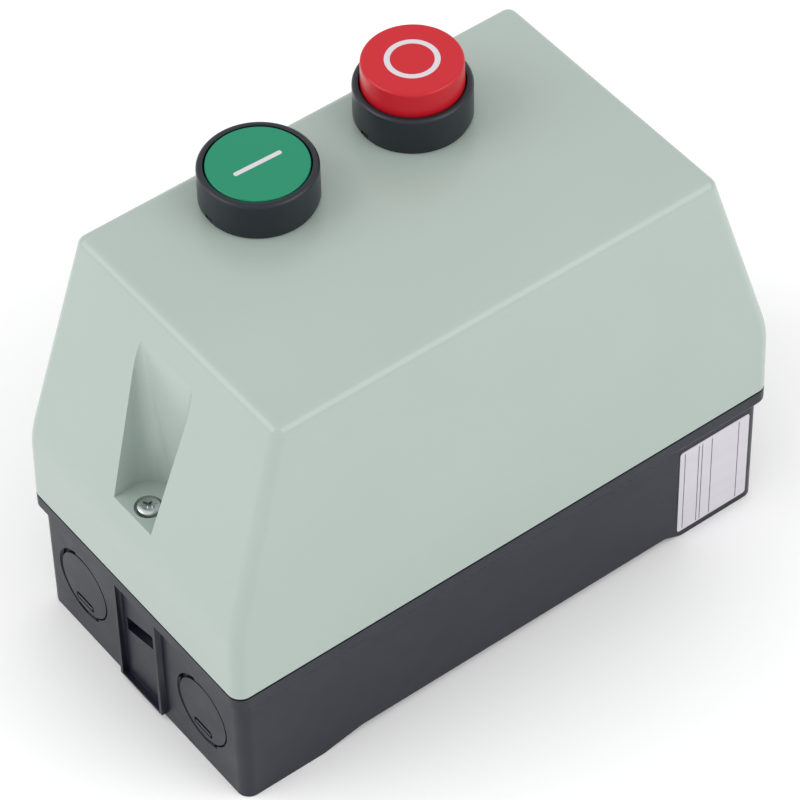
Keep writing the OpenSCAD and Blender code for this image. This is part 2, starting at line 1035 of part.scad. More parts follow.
module relay_head() {
  half = relay_l / 2;
  color([0.93, 0.93, 0.91])
    at_relay()
      difference() {
        along_y(gear_w)
          polygon([[-half, relay_split], [half - 10, relay_split], [half - 10, relay_top - 5],
            [half - 12, relay_top], [-half, relay_top]]);
        translate([-5, 0, 0])
          block(relay_l - 16, gear_w - 2 * gear_wall, relay_split - 1, relay_top - relay_wall_t);
        // sockets of the links to the contactor
        for (y = link_poles)
          translate([-half, y, 0])
            block(9, strip_w + 0.1, strip_z + strip_t, strip_z + strip_t + link_t + 0.1);
        translate([stop_x - relay_x, button_y - gear_y, 0])
          rod(reset_r + run, relay_top - 4, relay_top + 1);
        translate([dial_x - relay_x, dial_y, 0]) {
          rod(dial_r + run, relay_top - dial_pocket, relay_top + 1);
          rod(dial_stem_r + run, relay_top - 4, relay_top + 1);
        }
      }
}

module relay_links() {
  inner = gear_x + terminal_x - 2;
  color([0.80, 0.52, 0.34])
    for (y = link_poles)
      translate([inner, gear_y + y - strip_w / 2, strip_z + strip_t + 0.05])
        cube([relay_x - relay_l / 2 + 4 - inner, strip_w, link_t]);
}

module relay_terminals() {
  half = relay_l / 2;
  color([0.80, 0.52, 0.34])
    at_relay()
      for (y = link_poles)
        translate([half - 5.5, y, 0])
          block(9, strip_w, terminal_z, terminal_z + strip_t);
}

module relay_screws() {
  half = relay_l / 2;
  color([0.75, 0.76, 0.78])
    at_relay()
      for (y = link_poles)
        translate([half - 5, y, terminal_z + strip_t])
          terminal_screw();
}

// three upright strips, each with its heater winding
module bimetals() {
  strip = [0.8, 5];
  heater_z = relay_low + 8;
  heater_h = 24;
  color([0.70, 0.62, 0.50])
    at_relay()
      for (y = link_poles)
        translate([bimetal_x, y, 0]) {
          block(strip[0], strip[1], relay_low + relay_wall_t, relay_split + 6);
          translate([0, 0, heater_z])
            difference() {
              block(4, 8, 0, heater_h);
              block(strip[0] + 0.1, strip[1] + 0.1, -1, heater_h + 1);
            }
        }
}

module trip_slide() {
  color([0.92, 0.92, 0.90])
    at_relay()
      difference() {
        translate([-4, -3.8, 0])
          block(8, 31.6, slide_z, slide_z + 2);
        for (y = link_poles)
          translate([bimetal_x, y, 0])
            block(1.8, 6, slide_z - 1, slide_z + 3);
      }
}

module current_dial() {
  color([0.93, 0.93, 0.91])
    translate([dial_x, gear_y + dial_y, relay_top])
      difference() {
        union() {
          rod(dial_r, -dial_pocket + 0.1, 1.2);
          rod(dial_stem_r, -4.4, 0);
          rod(dial_stem_r + 0.6, -4.4, -relay_wall_t - 0.1);
        }
        block(8, 1.2, 0.2, 2);
        translate([4.4, 0, 0])
          rod(0.7, 0.6, 2);
      }
}

module reset_button() {
  color([0.10, 0.28, 0.62])
    translate([stop_x, button_y, relay_top])
      union() {
        rod(reset_r, -relay_wall_t - 1, reset_h);
        block(2 * reset_r + 2, 4, -relay_wall_t - 1.5, -relay_wall_t - 0.1);
        rod(2.4, -reset_low, -relay_wall_t - 1);
      }
}

module reset_spring() {
  color([0.78, 0.79, 0.80])
    translate([stop_x, button_y, reset_seat_z])
      coil_spring(1.8, 0.3, relay_top - reset_low - reset_seat_z, 5);
}

base_housing();
rim_gasket();
cover_nuts();
rating_plate();
din_rail();
rail_screws();
earth_bar();
earth_screw();
top_cover();
cover_screws();
start_bezel();
stop_bezel();
bezel_seals();
bezel_nuts();
start_cap();
start_mark();
start_plunger();
start_rod();
start_spring();
stop_cap();
stop_mark();
stop_plunger();
stop_rod();
stop_spring();
contactor_base();
magnet_core();
coil();
shading_rings();
armature();
contact_carrier();
moving_contacts();
contact_springs();
return_springs();
contactor_head();
fixed_contacts();
contactor_screws();
start_block();
start_block_plunger();
start_block_spring();
relay_base();
relay_head();
relay_links();
relay_terminals();
relay_screws();
bimetals();
trip_slide();
current_dial();
reset_button();
reset_spring();
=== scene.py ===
"""Enclosed motor starter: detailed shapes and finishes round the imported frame."""

import json
import math

import bmesh
import bpy
from bpy.props import FloatProperty, FloatVectorProperty, IntProperty, PointerProperty
from mathutils import Matrix, Vector


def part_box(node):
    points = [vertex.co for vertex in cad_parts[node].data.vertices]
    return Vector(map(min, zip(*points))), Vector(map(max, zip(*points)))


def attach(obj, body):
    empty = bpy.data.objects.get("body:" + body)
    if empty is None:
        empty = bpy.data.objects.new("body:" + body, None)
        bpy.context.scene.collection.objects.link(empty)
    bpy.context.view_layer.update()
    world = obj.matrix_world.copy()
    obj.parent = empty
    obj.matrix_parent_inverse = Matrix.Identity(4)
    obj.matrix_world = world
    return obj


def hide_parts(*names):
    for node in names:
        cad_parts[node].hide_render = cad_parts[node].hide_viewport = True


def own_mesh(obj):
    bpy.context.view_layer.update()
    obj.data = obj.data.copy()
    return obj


bl_info = {
    "name": "Enclosed motor starter",
    "version": (1, 0, 0),
    "blender": (4, 5, 0),
    "location": "View3D > Sidebar > Starter",
    "description": "Builds the detailed pieces, finishes and stage of an enclosed motor starter",
    "category": "Object",
}

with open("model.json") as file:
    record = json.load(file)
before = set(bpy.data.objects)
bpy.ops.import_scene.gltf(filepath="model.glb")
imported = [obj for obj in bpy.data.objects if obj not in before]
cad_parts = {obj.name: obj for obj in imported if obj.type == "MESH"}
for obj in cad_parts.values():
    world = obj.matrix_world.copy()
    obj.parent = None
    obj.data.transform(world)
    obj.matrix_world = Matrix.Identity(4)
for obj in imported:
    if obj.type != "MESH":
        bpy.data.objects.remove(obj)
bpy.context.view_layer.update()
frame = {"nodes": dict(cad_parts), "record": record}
MM = 0.001

COVER_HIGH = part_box("top_cover")[1]
BASE_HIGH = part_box("base_housing")[1]
SCREWS_LOW, SCREWS_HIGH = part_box("cover_screws")


# ---------------------------------------------------------------- settings


class CoverSizes(bpy.types.PropertyGroup):
    """Sizes of the sloped cover."""

    joint_gap: FloatProperty(
        name="Joint gap", description="Gap between base and cover", default=0.4 * MM, unit="LENGTH")
    wall: FloatProperty(name="Wall", description="Wall thickness", default=2.5 * MM, unit="LENGTH")
    corner: FloatProperty(
        name="Corner", description="Radius of the upright corners", default=3.8 * MM, unit="LENGTH")
    fold: FloatProperty(
        name="Fold height", description="Height of the fold above the joint",
        default=21.4 * MM, unit="LENGTH")
    fold_blend: FloatProperty(
        name="Fold blend", description="Length of the soft bend at the fold", default=5 * MM, unit="LENGTH")
    lean: FloatProperty(
        name="Lean", description="Inward lean of the upright band at the ends",
        default=0.5 * MM, unit="LENGTH")
    face_l: FloatProperty(
        name="Face length", description="Length of the flat front", default=134.5 * MM, unit="LENGTH")
    face_w: FloatProperty(
        name="Face width", description="Width of the flat front", default=82.6 * MM, unit="LENGTH")
    face_edge: FloatProperty(
        name="Face edge", description="Radius along the edges of the front", default=3 * MM, unit="LENGTH")
    pocket_x: FloatProperty(
        name="Pocket back", description="Distance of the pocket's back from the middle",
        default=69.3 * MM, unit="LENGTH")
    pocket_z: FloatProperty(
        name="Pocket floor", description="Height of the pocket's floor", default=69.3 * MM, unit="LENGTH")
    pocket_low: FloatProperty(
        name="Pocket half width, low", description="Half width of the pocket at its floor",
        default=7.8 * MM, unit="LENGTH")
    pocket_high: FloatProperty(
        name="Pocket half width, high", description="Half width of the pocket at its top",
        default=12.2 * MM, unit="LENGTH")
    pocket_top: FloatProperty(
        name="Pocket top", description="Height at which the high width holds",
        default=119 * MM, unit="LENGTH")
    seat_r: FloatProperty(
        name="Seat radius", description="Radius of the round seat of a screw head",
        default=3.7 * MM, unit="LENGTH")
    seat_d: FloatProperty(
        name="Seat depth", description="Depth of the round seat of a screw head",
        default=1.4 * MM, unit="LENGTH")
    hole_r: FloatProperty(
        name="Button hole", description="Radius of the button holes", default=11.25 * MM, unit="LENGTH")


class ButtonSizes(bpy.types.PropertyGroup):
    """Sizes of the two push buttons, heights above the front face."""

    collar_r: FloatProperty(
        name="Collar radius", description="Outer radius of the collar", default=15.05 * MM, unit="LENGTH")
    collar_h: FloatProperty(
        name="Collar height", description="Height of the collar", default=11.1 * MM, unit="LENGTH")
    cap_r: FloatProperty(name="Cap radius", description="Radius of the cap", default=13 * MM, unit="LENGTH")
    neck_r: FloatProperty(
        name="Neck radius", description="Radius of the threaded neck", default=11 * MM, unit="LENGTH")
    neck_h: FloatProperty(
        name="Neck length", description="Length of the neck under the front face",
        default=18 * MM, unit="LENGTH")
    pitch: FloatProperty(
        name="Thread pitch", description="Pitch of the neck thread", default=1.2 * MM, unit="LENGTH")
    bar_l: FloatProperty(
        name="Bar length", description="Length of the white bar", default=13.8 * MM, unit="LENGTH")
    bar_w: FloatProperty(
        name="Bar width", description="Width of the white bar", default=1.3 * MM, unit="LENGTH")
    ring_out: FloatProperty(
        name="Ring outer radius", description="Outer radius of the white ring",
        default=6.95 * MM, unit="LENGTH")
    ring_in: FloatProperty(
        name="Ring inner radius", description="Inner radius of the white ring",
        default=5.5 * MM, unit="LENGTH")


class Finishes(bpy.types.PropertyGroup):
    """Colours of the visible mouldings."""

    cover: FloatVectorProperty(
        name="Cover", description="Grey-green of the cover",
        default=(0.358, 0.426, 0.389), subtype="COLOR", size=3)
    base: FloatVectorProperty(
        name="Base", description="Dark grey of the base",
        default=(0.006, 0.008, 0.017), subtype="COLOR", size=3)
    collar: FloatVectorProperty(
        name="Collar", description="Near black of the collars",
        default=(0.009, 0.0125, 0.0185), subtype="COLOR", size=3)
    start: FloatVectorProperty(
        name="Start", description="Green of the start cap",
        default=(0.005, 0.216, 0.113), subtype="COLOR", size=3)
    stop: FloatVectorProperty(
        name="Stop", description="Red of the stop cap", default=(0.49, 0.007, 0.016), subtype="COLOR", size=3)
    plate: FloatVectorProperty(
        name="Plate", description="Silver of the rating plate",
        default=(0.55, 0.53, 0.575), subtype="COLOR", size=3)


class StageSettings(bpy.types.PropertyGroup):
    """Camera and light."""

    lens: FloatProperty(
        name="Lens", description="Focal length in millimetres on a 36 mm sensor", default=190.172)
    camera: FloatVectorProperty(
        name="Camera", description="Place of the camera",
        default=(-0.42982, -0.58184, 0.84540), size=3, unit="LENGTH")
    right: FloatVectorProperty(
        name="Right", description="Direction of the camera's right",
        default=(0.79403, -0.60766, -0.01645), size=3)
    up: FloatVectorProperty(
        name="Up", description="Direction of the camera's top", default=(0.45715, 0.57909, 0.67503), size=3)
    sky: FloatProperty(name="Sky", description="Strength of the even surrounding light", default=0.88)
    floor_side: FloatProperty(
        name="Floor", description="Side of the square floor", default=6.0, unit="LENGTH")
    corner_steps: IntProperty(name="Corner steps", description="Steps round each upright corner", default=12)


# ---------------------------------------------------------------- mesh helpers


def new_piece(name, bm):
    """An object at the origin that holds the mesh of bm."""
    mesh = bpy.data.meshes.new(name)
    bm.to_mesh(mesh)
    bm.free()
    piece = bpy.data.objects.new(name, mesh)
    bpy.context.scene.collection.objects.link(piece)
    return piece


def settle(piece):
    """Turns a piece and its modifiers into one plain mesh."""
    graph = bpy.context.evaluated_depsgraph_get()
    mesh = bpy.data.meshes.new_from_object(piece.evaluated_get(graph))
    piece.modifiers.clear()
    piece.data = mesh
    return piece


def carve(piece, cutter, slots=0):
    """Cuts a mesh, with that many empty material slots, out of piece."""
    cutter = new_piece("cutter", cutter)
    for _ in range(slots):
        cutter.data.materials.append(None)
    cut = piece.modifiers.new("carve", "BOOLEAN")
    cut.operation = "DIFFERENCE"
    cut.solver = "EXACT"
    cut.object = cutter
    settle(piece)
    bpy.data.objects.remove(cutter)
    return piece


def near_height(z, heights):
    """Whether z is within a tenth of a millimetre of one of the heights."""
    return any(abs(z - height) < 0.1 * MM for height in heights)


def shade(piece, angle=32, crisp=()):
    """Smooth shading that keeps flats flat, with edges sharp past an angle and at the crisp heights."""
    mesh = piece.data
    mesh.shade_smooth()
    mesh.set_sharp_from_angle(angle=math.radians(angle))
    for edge in mesh.edges if crisp else ():
        if all(near_height(mesh.vertices[i].co.z, crisp) for i in edge.vertices):
            edge.use_edge_sharp = True
    even = piece.modifiers.new("even", "WEIGHTED_NORMAL")
    even.keep_sharp = True
    return settle(piece)


def soften(piece, width, segments=2, angle=32, crisp=()):
    """Rounds every edge past an angle, but none at the crisp heights, then shades the piece."""
    bm = bmesh.new()
    bm.from_mesh(piece.data)
    weight = bm.edges.layers.float.new("bevel_weight_edge")
    for edge in bm.edges:
        level = all(near_height(v.co.z, crisp) for v in edge.verts)
        if len(edge.link_faces) == 2 and edge.calc_face_angle() > math.radians(angle) and not level:
            edge[weight] = 1.0
    bm.to_mesh(piece.data)
    bm.free()
    bevel = piece.modifiers.new("soften", "BEVEL")
    bevel.width = width
    bevel.segments = segments
    bevel.limit_method = "WEIGHT"
    bevel.use_clamp_overlap = False
    settle(piece)
    return shade(piece, angle + 10, crisp)


def as_bmesh(piece):
    """Takes the mesh out of a piece and deletes the piece."""
    bm = bmesh.new()
    bm.from_mesh(piece.data)
    bpy.data.objects.remove(piece)
    return bm


def join(name, pieces):
    """Several pieces as one plain mesh."""
    bm = bmesh.new()
    for piece in pieces:
        bm.from_mesh(piece.data)
        bpy.data.objects.remove(piece)
    return new_piece(name, bm)


def loft(bm, rings, index=0):
    """Closed skin through rings of equally many points, with both ends filled."""
    rows = [[bm.verts.new(p) for p in ring] for ring in rings]
    count = len(rows[0])
    faces = []
    for low, high in zip(rows, rows[1:]):
        for i in range(count):
            j = (i + 1) % count
            faces.append(bm.faces.new((low[i], low[j], high[j], high[i])))
    faces.append(bm.faces.new(list(reversed(rows[0]))))
    faces.append(bm.faces.new(rows[-1]))
    for face in faces:
        face.material_index = index
    return faces


def closed(bm):
    """Merges doubles and turns every face outwards."""
    bmesh.ops.remove_doubles(bm, verts=bm.verts, dist=1e-7)
    bmesh.ops.delete(bm, geom=[edge for edge in bm.edges if not edge.link_faces], context="EDGES")
    bmesh.ops.recalc_face_normals(bm, faces=bm.faces)
    return bm


def box_mesh(low, high):
    """Box between two corners."""
    bm = bmesh.new()
    (x0, y0, z0), (x1, y1, z1) = low, high
    loft(bm, [[(x0, y0, z), (x1, y0, z), (x1, y1, z), (x0, y1, z)] for z in (z0, z1)])
    return bm


def rounded(length, width, radius, z, steps=8, centre=(0, 0)):
    """Ring of points round a rectangle with round corners, counter-clockwise from +X."""
    points = []
    for sx, sy, turn in ((1, 1, 0), (-1, 1, 90), (-1, -1, 180), (1, -1, 270)):
        for k in range(steps + 1):
            a = math.radians(turn + 90 * k / steps)
            x = centre[0] + sx * (length / 2 - radius) + radius * math.cos(a)
            y = centre[1] + sy * (width / 2 - radius) + radius * math.sin(a)
            points.append((x, y, z))
    return points


def turned(profile, centre, steps=96):
    """Mesh turned from a closed profile of (radius, height) about an upright axis."""
    bm = bmesh.new()
    cx, cy, cz = centre
    rows = []
    for r, z in profile:
        row = []
        for k in range(steps):
            a = 2 * math.pi * k / steps
            row.append(bm.verts.new((cx + r * math.cos(a), cy + r * math.sin(a), cz + z)))
        rows.append(row)
    for low, high in zip(rows, rows[1:] + rows[:1]):
        for k in range(steps):
            j = (k + 1) % steps
            bm.faces.new((low[k], low[j], high[j], high[k]))
    return closed(bm)


def cylinder(radius, low, high, centre, steps):
    """Upright cylinder between two heights."""
    return turned([(0, low), (radius, low), (radius, high), (0, high)], (*centre, 0), steps)


def swivel(bm, degrees):
    """Turns a mesh about the upright axis through the origin."""
    bmesh.ops.rotate(bm, verts=bm.verts, matrix=Matrix.Rotation(math.radians(degrees), 3, "Z"))
    return bm


def arc(cx, cz, radius, start, end, steps=5):
    """Points of (radius, height) along an arc between two angles in degrees."""
    angles = [math.radians(start + (end - start) * k / steps) for k in range(steps + 1)]
    return [(cx + radius * math.cos(a), cz + radius * math.sin(a)) for a in angles]


def copy_of(node):
    """A merged copy of a CAD node's mesh, with its flat areas made whole."""
    bm = bmesh.new()
    bm.from_mesh(frame["nodes"][node].data)
    bmesh.ops.remove_doubles(bm, verts=bm.verts, dist=2e-6)
    bmesh.ops.dissolve_limit(bm, angle_limit=math.radians(0.4), verts=bm.verts, edges=bm.edges)
    return new_piece(node + "_finished", bm)


def middle_of(low, high):
    """Centre of a box in plan."""
    return (low.x + high.x) / 2, (low.y + high.y) / 2


def body_of(node):
    """Body that holds a CAD node."""
    for body, nodes in frame["record"]["behaviour"]["bodies"].items():
        if node in nodes:
            return body
    raise ValueError(f"no body holds {node}")


def slot_of(node):
    """Material slot of a CAD node."""
    for part in frame["record"]["subparts"]:
        if part["node"] == node:
            return part["material_slot"]
    raise ValueError(f"no subpart is {node}")


def hand_over(piece, material, *nodes):
    """Gives a finished piece its material and body, and lets it stand for its CAD nodes."""
    piece.data.materials.clear()
    piece.data.materials.append(material)
    for polygon in piece.data.polygons:
        polygon.material_index = 0
    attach(piece, body_of(nodes[0]))
    slot_of(nodes[0])
    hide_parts(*nodes)
    return piece


# ---------------------------------------------------------------- geometry nodes


def node_tree(name, sockets):
    """An empty geometry tree with a geometry input, named inputs and a geometry output."""
    tree = bpy.data.node_groups.new(name, "GeometryNodeTree")
    tree.interface.new_socket("Geometry", in_out="INPUT", socket_type="NodeSocketGeometry")
    for label, kind in sockets:
        tree.interface.new_socket(label, in_out="INPUT", socket_type="NodeSocket" + kind)
    tree.interface.new_socket("Geometry", in_out="OUTPUT", socket_type="NodeSocketGeometry")
    return tree, tree.nodes.new("NodeGroupInput"), tree.nodes.new("NodeGroupOutput")


def close_tree(tree, ends, instances, given):
    """Ends a tree in Realize Instances and Set Material."""
    real = tree.nodes.new("GeometryNodeRealizeInstances")
    paint = tree.nodes.new("GeometryNodeSetMaterial")
    tree.links.new(instances, real.inputs[0])
    tree.links.new(real.outputs[0], paint.inputs["Geometry"])
    tree.links.new(given.outputs["Material"], paint.inputs["Material"])
    tree.links.new(paint.outputs[0], ends.inputs[0])


def row_tree():
    """Sets copies of the piece along a straight line."""
    tree, given, ends = node_tree("row_of_pieces", [
        ("Count", "Int"), ("First", "Vector"), ("Step", "Vector"), ("Material", "Material")])
    line = tree.nodes.new("GeometryNodeMeshLine")
    place = tree.nodes.new("GeometryNodeInstanceOnPoints")
    tree.links.new(given.outputs["Count"], line.inputs["Count"])
    tree.links.new(given.outputs["First"], line.inputs["Start Location"])
    tree.links.new(given.outputs["Step"], line.inputs["Offset"])
    tree.links.new(line.outputs[0], place.inputs["Points"])
    tree.links.new(given.outputs["Geometry"], place.inputs["Instance"])
    close_tree(tree, ends, place.outputs[0], given)
    return tree


def ring_tree():
    """Sets copies of the piece round an upright axis, each turned to face outwards."""
    tree, given, ends = node_tree("ring_of_pieces", [
        ("Count", "Int"), ("Radius", "Float"), ("Centre", "Vector"), ("Material", "Material")])
    circle = tree.nodes.new("GeometryNodeMeshCircle")
    place = tree.nodes.new("GeometryNodeInstanceOnPoints")
    index = tree.nodes.new("GeometryNodeInputIndex")
    share = tree.nodes.new("ShaderNodeMath")
    share.operation = "DIVIDE"
    turn = tree.nodes.new("ShaderNodeMath")
    turn.operation = "MULTIPLY"
    turn.inputs[1].default_value = 2 * math.pi
    angles = tree.nodes.new("ShaderNodeCombineXYZ")
    rotate = tree.nodes.new("FunctionNodeEulerToRotation")
    move = tree.nodes.new("GeometryNodeTransform")
    tree.links.new(given.outputs["Count"], circle.inputs["Vertices"])
    tree.links.new(given.outputs["Radius"], circle.inputs["Radius"])
    tree.links.new(circle.outputs[0], move.inputs["Geometry"])
    tree.links.new(given.outputs["Centre"], move.inputs["Translation"])
    tree.links.new(move.outputs[0], place.inputs["Points"])
    tree.links.new(given.outputs["Geometry"], place.inputs["Instance"])
    tree.links.new(index.outputs[0], share.inputs[0])
    tree.links.new(given.outputs["Count"], share.inputs[1])
    tree.links.new(share.outputs[0], turn.inputs[0])
    tree.links.new(turn.outputs[0], angles.inputs["Z"])
    tree.links.new(angles.outputs[0], rotate.inputs[0])
    tree.links.new(rotate.outputs[0], place.inputs["Rotation"])
    close_tree(tree, ends, place.outputs[0], given)
    return tree


def spring_tree():
    """Coil springs of round wire, one at each place along a straight line."""
    tree, given, ends = node_tree("row_of_springs", [
        ("Coil radius", "Float"), ("Wire radius", "Float"), ("Height", "Float"), ("Turns", "Float"),
        ("Count", "Int"), ("First", "Vector"), ("Step", "Vector"), ("Material", "Material")])
    spiral = tree.nodes.new("GeometryNodeCurveSpiral")
    spiral.inputs["Resolution"].default_value = 28
    wire = tree.nodes.new("GeometryNodeCurvePrimitiveCircle")
    wire.inputs["Resolution"].default_value = 10
    skin = tree.nodes.new("GeometryNodeCurveToMesh")
    skin.inputs["Fill Caps"].default_value = True
    line = tree.nodes.new("GeometryNodeMeshLine")
    place = tree.nodes.new("GeometryNodeInstanceOnPoints")
    for side in ("Start Radius", "End Radius"):
        tree.links.new(given.outputs["Coil radius"], spiral.inputs[side])
    tree.links.new(given.outputs["Height"], spiral.inputs["Height"])
    tree.links.new(given.outputs["Turns"], spiral.inputs["Rotations"])
    tree.links.new(given.outputs["Wire radius"], wire.inputs["Radius"])
    tree.links.new(spiral.outputs[0], skin.inputs["Curve"])
    tree.links.new(wire.outputs[0], skin.inputs["Profile Curve"])
    tree.links.new(given.outputs["Count"], line.inputs["Count"])
    tree.links.new(given.outputs["First"], line.inputs["Start Location"])
    tree.links.new(given.outputs["Step"], line.inputs["Offset"])
    tree.links.new(line.outputs[0], place.inputs["Points"])
    tree.links.new(skin.outputs[0], place.inputs["Instance"])
    close_tree(tree, ends, place.outputs[0], given)
    return tree


def grown(name, seed_mesh, tree, **values):
    """A plain mesh made by a geometry tree from a small starting mesh."""
    piece = new_piece(name, seed_mesh)
    grow = piece.modifiers.new("grow", "NODES")
    grow.node_group = tree
    for socket in tree.interface.items_tree:
        if socket.in_out == "INPUT" and socket.name in values:
            grow[socket.identifier] = values[socket.name]
    return settle(piece)


# ---------------------------------------------------------------- finishes


def fresh_material(name):
    """A new material with its shader and its place coordinates."""
    material = bpy.data.materials.new(name)
    material.use_nodes = True
    tree = material.node_tree
    return material, tree, tree.nodes["Principled BSDF"], tree.nodes.new("ShaderNodeTexCoord")


def noise(tree, source, scale, detail=3.0, stretch=(1, 1, 1)):
    """Noise read from the object's own coordinates, with stretch along its axes."""
    mapping = tree.nodes.new("ShaderNodeMapping")
    mapping.inputs["Scale"].default_value = stretch
    texture = tree.nodes.new("ShaderNodeTexNoise")
    texture.inputs["Scale"].default_value = scale
    texture.inputs["Detail"].default_value = detail
    tree.links.new(source.outputs["Object"], mapping.inputs["Vector"])
    tree.links.new(mapping.outputs[0], texture.inputs["Vector"])
    return texture.outputs["Fac"]


def spread(tree, value, low, high):
    """Maps the middle of a noise onto a range."""
    reach = tree.nodes.new("ShaderNodeMapRange")
    reach.inputs["From Min"].default_value = 0.3
    reach.inputs["From Max"].default_value = 0.7
    reach.inputs["To Min"].default_value = low
    reach.inputs["To Max"].default_value = high
    tree.links.new(value, reach.inputs["Value"])
    return reach.outputs[0]


def tint(tree, value, dark, light):
    """Blends two colours by a noise."""
    ramp = tree.nodes.new("ShaderNodeValToRGB")
    ramp.color_ramp.elements[0].position = 0.3
    ramp.color_ramp.elements[1].position = 0.7
    ramp.color_ramp.elements[0].color = (*dark, 1)
    ramp.color_ramp.elements[1].color = (*light, 1)
    tree.links.new(value, ramp.inputs[0])
    return ramp.outputs[0]


def raise_grain(tree, shader, value, height, strength):
    """Fine relief from a noise, its height in metres."""
    bump = tree.nodes.new("ShaderNodeBump")
    bump.inputs["Strength"].default_value = strength
    bump.inputs["Distance"].default_value = height
    tree.links.new(value, bump.inputs["Height"])
    tree.links.new(bump.outputs[0], shader.inputs["Normal"])


def moulding(name, colour, roughness, grain=2600, relief=0.12, drift=0.035, stretch=(1, 1, 1),
             gleam=0.5, density=1.5):
    """Moulded plastic: slow colour drift, patchy gloss and a fine grain."""
    material, tree, shader, place = fresh_material(name)
    slow = noise(tree, place, 26, 4, stretch)
    fine = noise(tree, place, grain, 2)
    patches = noise(tree, place, 140, 4)
    dark = [c * (1 - drift) for c in colour]
    light = [min(1, c * (1 + drift)) for c in colour]
    tree.links.new(tint(tree, slow, dark, light), shader.inputs["Base Color"])
    tree.links.new(spread(tree, patches, roughness * 0.92, roughness * 1.1), shader.inputs["Roughness"])
    shader.inputs["Specular IOR Level"].default_value = gleam
    shader.inputs["IOR"].default_value = density
    raise_grain(tree, shader, fine, 0.03 * MM, relief)
    return material


def metal(name, colour, roughness, stretch=(1, 1, 1), relief=0.15):
    """Bare or plated metal: drawn streaks in its colour and gloss."""
    material, tree, shader, place = fresh_material(name)
    streaks = noise(tree, place, 900, 4, stretch)
    clouds = noise(tree, place, 120, 3)
    dark = [c * 0.82 for c in colour]
    tree.links.new(tint(tree, clouds, dark, colour), shader.inputs["Base Color"])
    tree.links.new(spread(tree, streaks, roughness * 0.75, roughness * 1.35), shader.inputs["Roughness"])
    shader.inputs["Metallic"].default_value = 1.0
    raise_grain(tree, shader, streaks, 0.02 * MM, relief)
    return material


def finish_set():
    """Every finish by name, made once."""
    colours = bpy.context.scene.starter_finishes
    makers = {
        "cover_plastic": lambda n: moulding(n, colours.cover, 0.24, 1500, 0.04, 0.012),
        "base_plastic": lambda n: moulding(n, colours.base, 0.40, 2200, 0.16, 0.10, density=1.42),
        "bezel_plastic": lambda n: moulding(n, colours.collar, 0.36, 2800, 0.12, 0.12, gleam=0.38),
        "start_green": lambda n: moulding(n, colours.start, 0.30, 2400, 0.04, 0.02, gleam=0.35),
        "stop_red": lambda n: moulding(n, colours.stop, 0.30, 2400, 0.04, 0.02, gleam=0.35),
        "mark_white": lambda n: moulding(n, (0.58, 0.55, 0.59), 0.38, 3000, 0.06, 0.02),
        "plate_silver": lambda n: moulding(n, colours.plate, 0.32, 3200, 0.05, 0.03, (1, 1, 12)),
        "rule_grey": lambda n: moulding(n, (0.10, 0.10, 0.11), 0.5, 3200, 0.05, 0.1),
        "gasket_rubber": lambda n: moulding(n, (0.012, 0.012, 0.013), 0.72, 1800, 0.5, 0.2),
        "stem_plastic": lambda n: moulding(n, (0.72, 0.72, 0.68), 0.42, 2000, 0.08, 0.02),
        "gear_white": lambda n: moulding(n, (0.70, 0.70, 0.67), 0.45, 2000, 0.14, 0.03),
        "gear_black": lambda n: moulding(n, (0.022, 0.022, 0.024), 0.45, 2000, 0.2, 0.12),
        "coil_tape": lambda n: moulding(n, (0.30, 0.11, 0.03), 0.35, 1500, 0.3, 0.2, (1, 1, 14)),
        "reset_blue": lambda n: moulding(n, (0.02, 0.09, 0.36), 0.35, 2400, 0.06, 0.03),
        "nut_brass": lambda n: metal(n, (0.72, 0.58, 0.30), 0.30),
        "rail_steel": lambda n: metal(n, (0.66, 0.67, 0.66), 0.34, (1, 0.05, 1)),
        "screw_zinc": lambda n: metal(n, (0.74, 0.78, 0.79), 0.24, (1, 1, 0.2)),
        "spring_steel": lambda n: metal(n, (0.62, 0.63, 0.64), 0.26),
        "lamination_steel": lambda n: metal(n, (0.36, 0.37, 0.39), 0.42, (1, 14, 1), 0.3),
        "contact_copper": lambda n: metal(n, (0.78, 0.44, 0.28), 0.30),
        "bimetal_strip": lambda n: metal(n, (0.56, 0.50, 0.40), 0.36, (1, 1, 0.1)),
    }
    return {name: make(name + "_finish") for name, make in makers.items()}


def finish_of(name):
    """The finish of that name, with the whole set made at the first call."""
    if name + "_finish" not in bpy.data.materials:
        finish_set()
    return bpy.data.materials[name + "_finish"]


# ---------------------------------------------------------------- cover


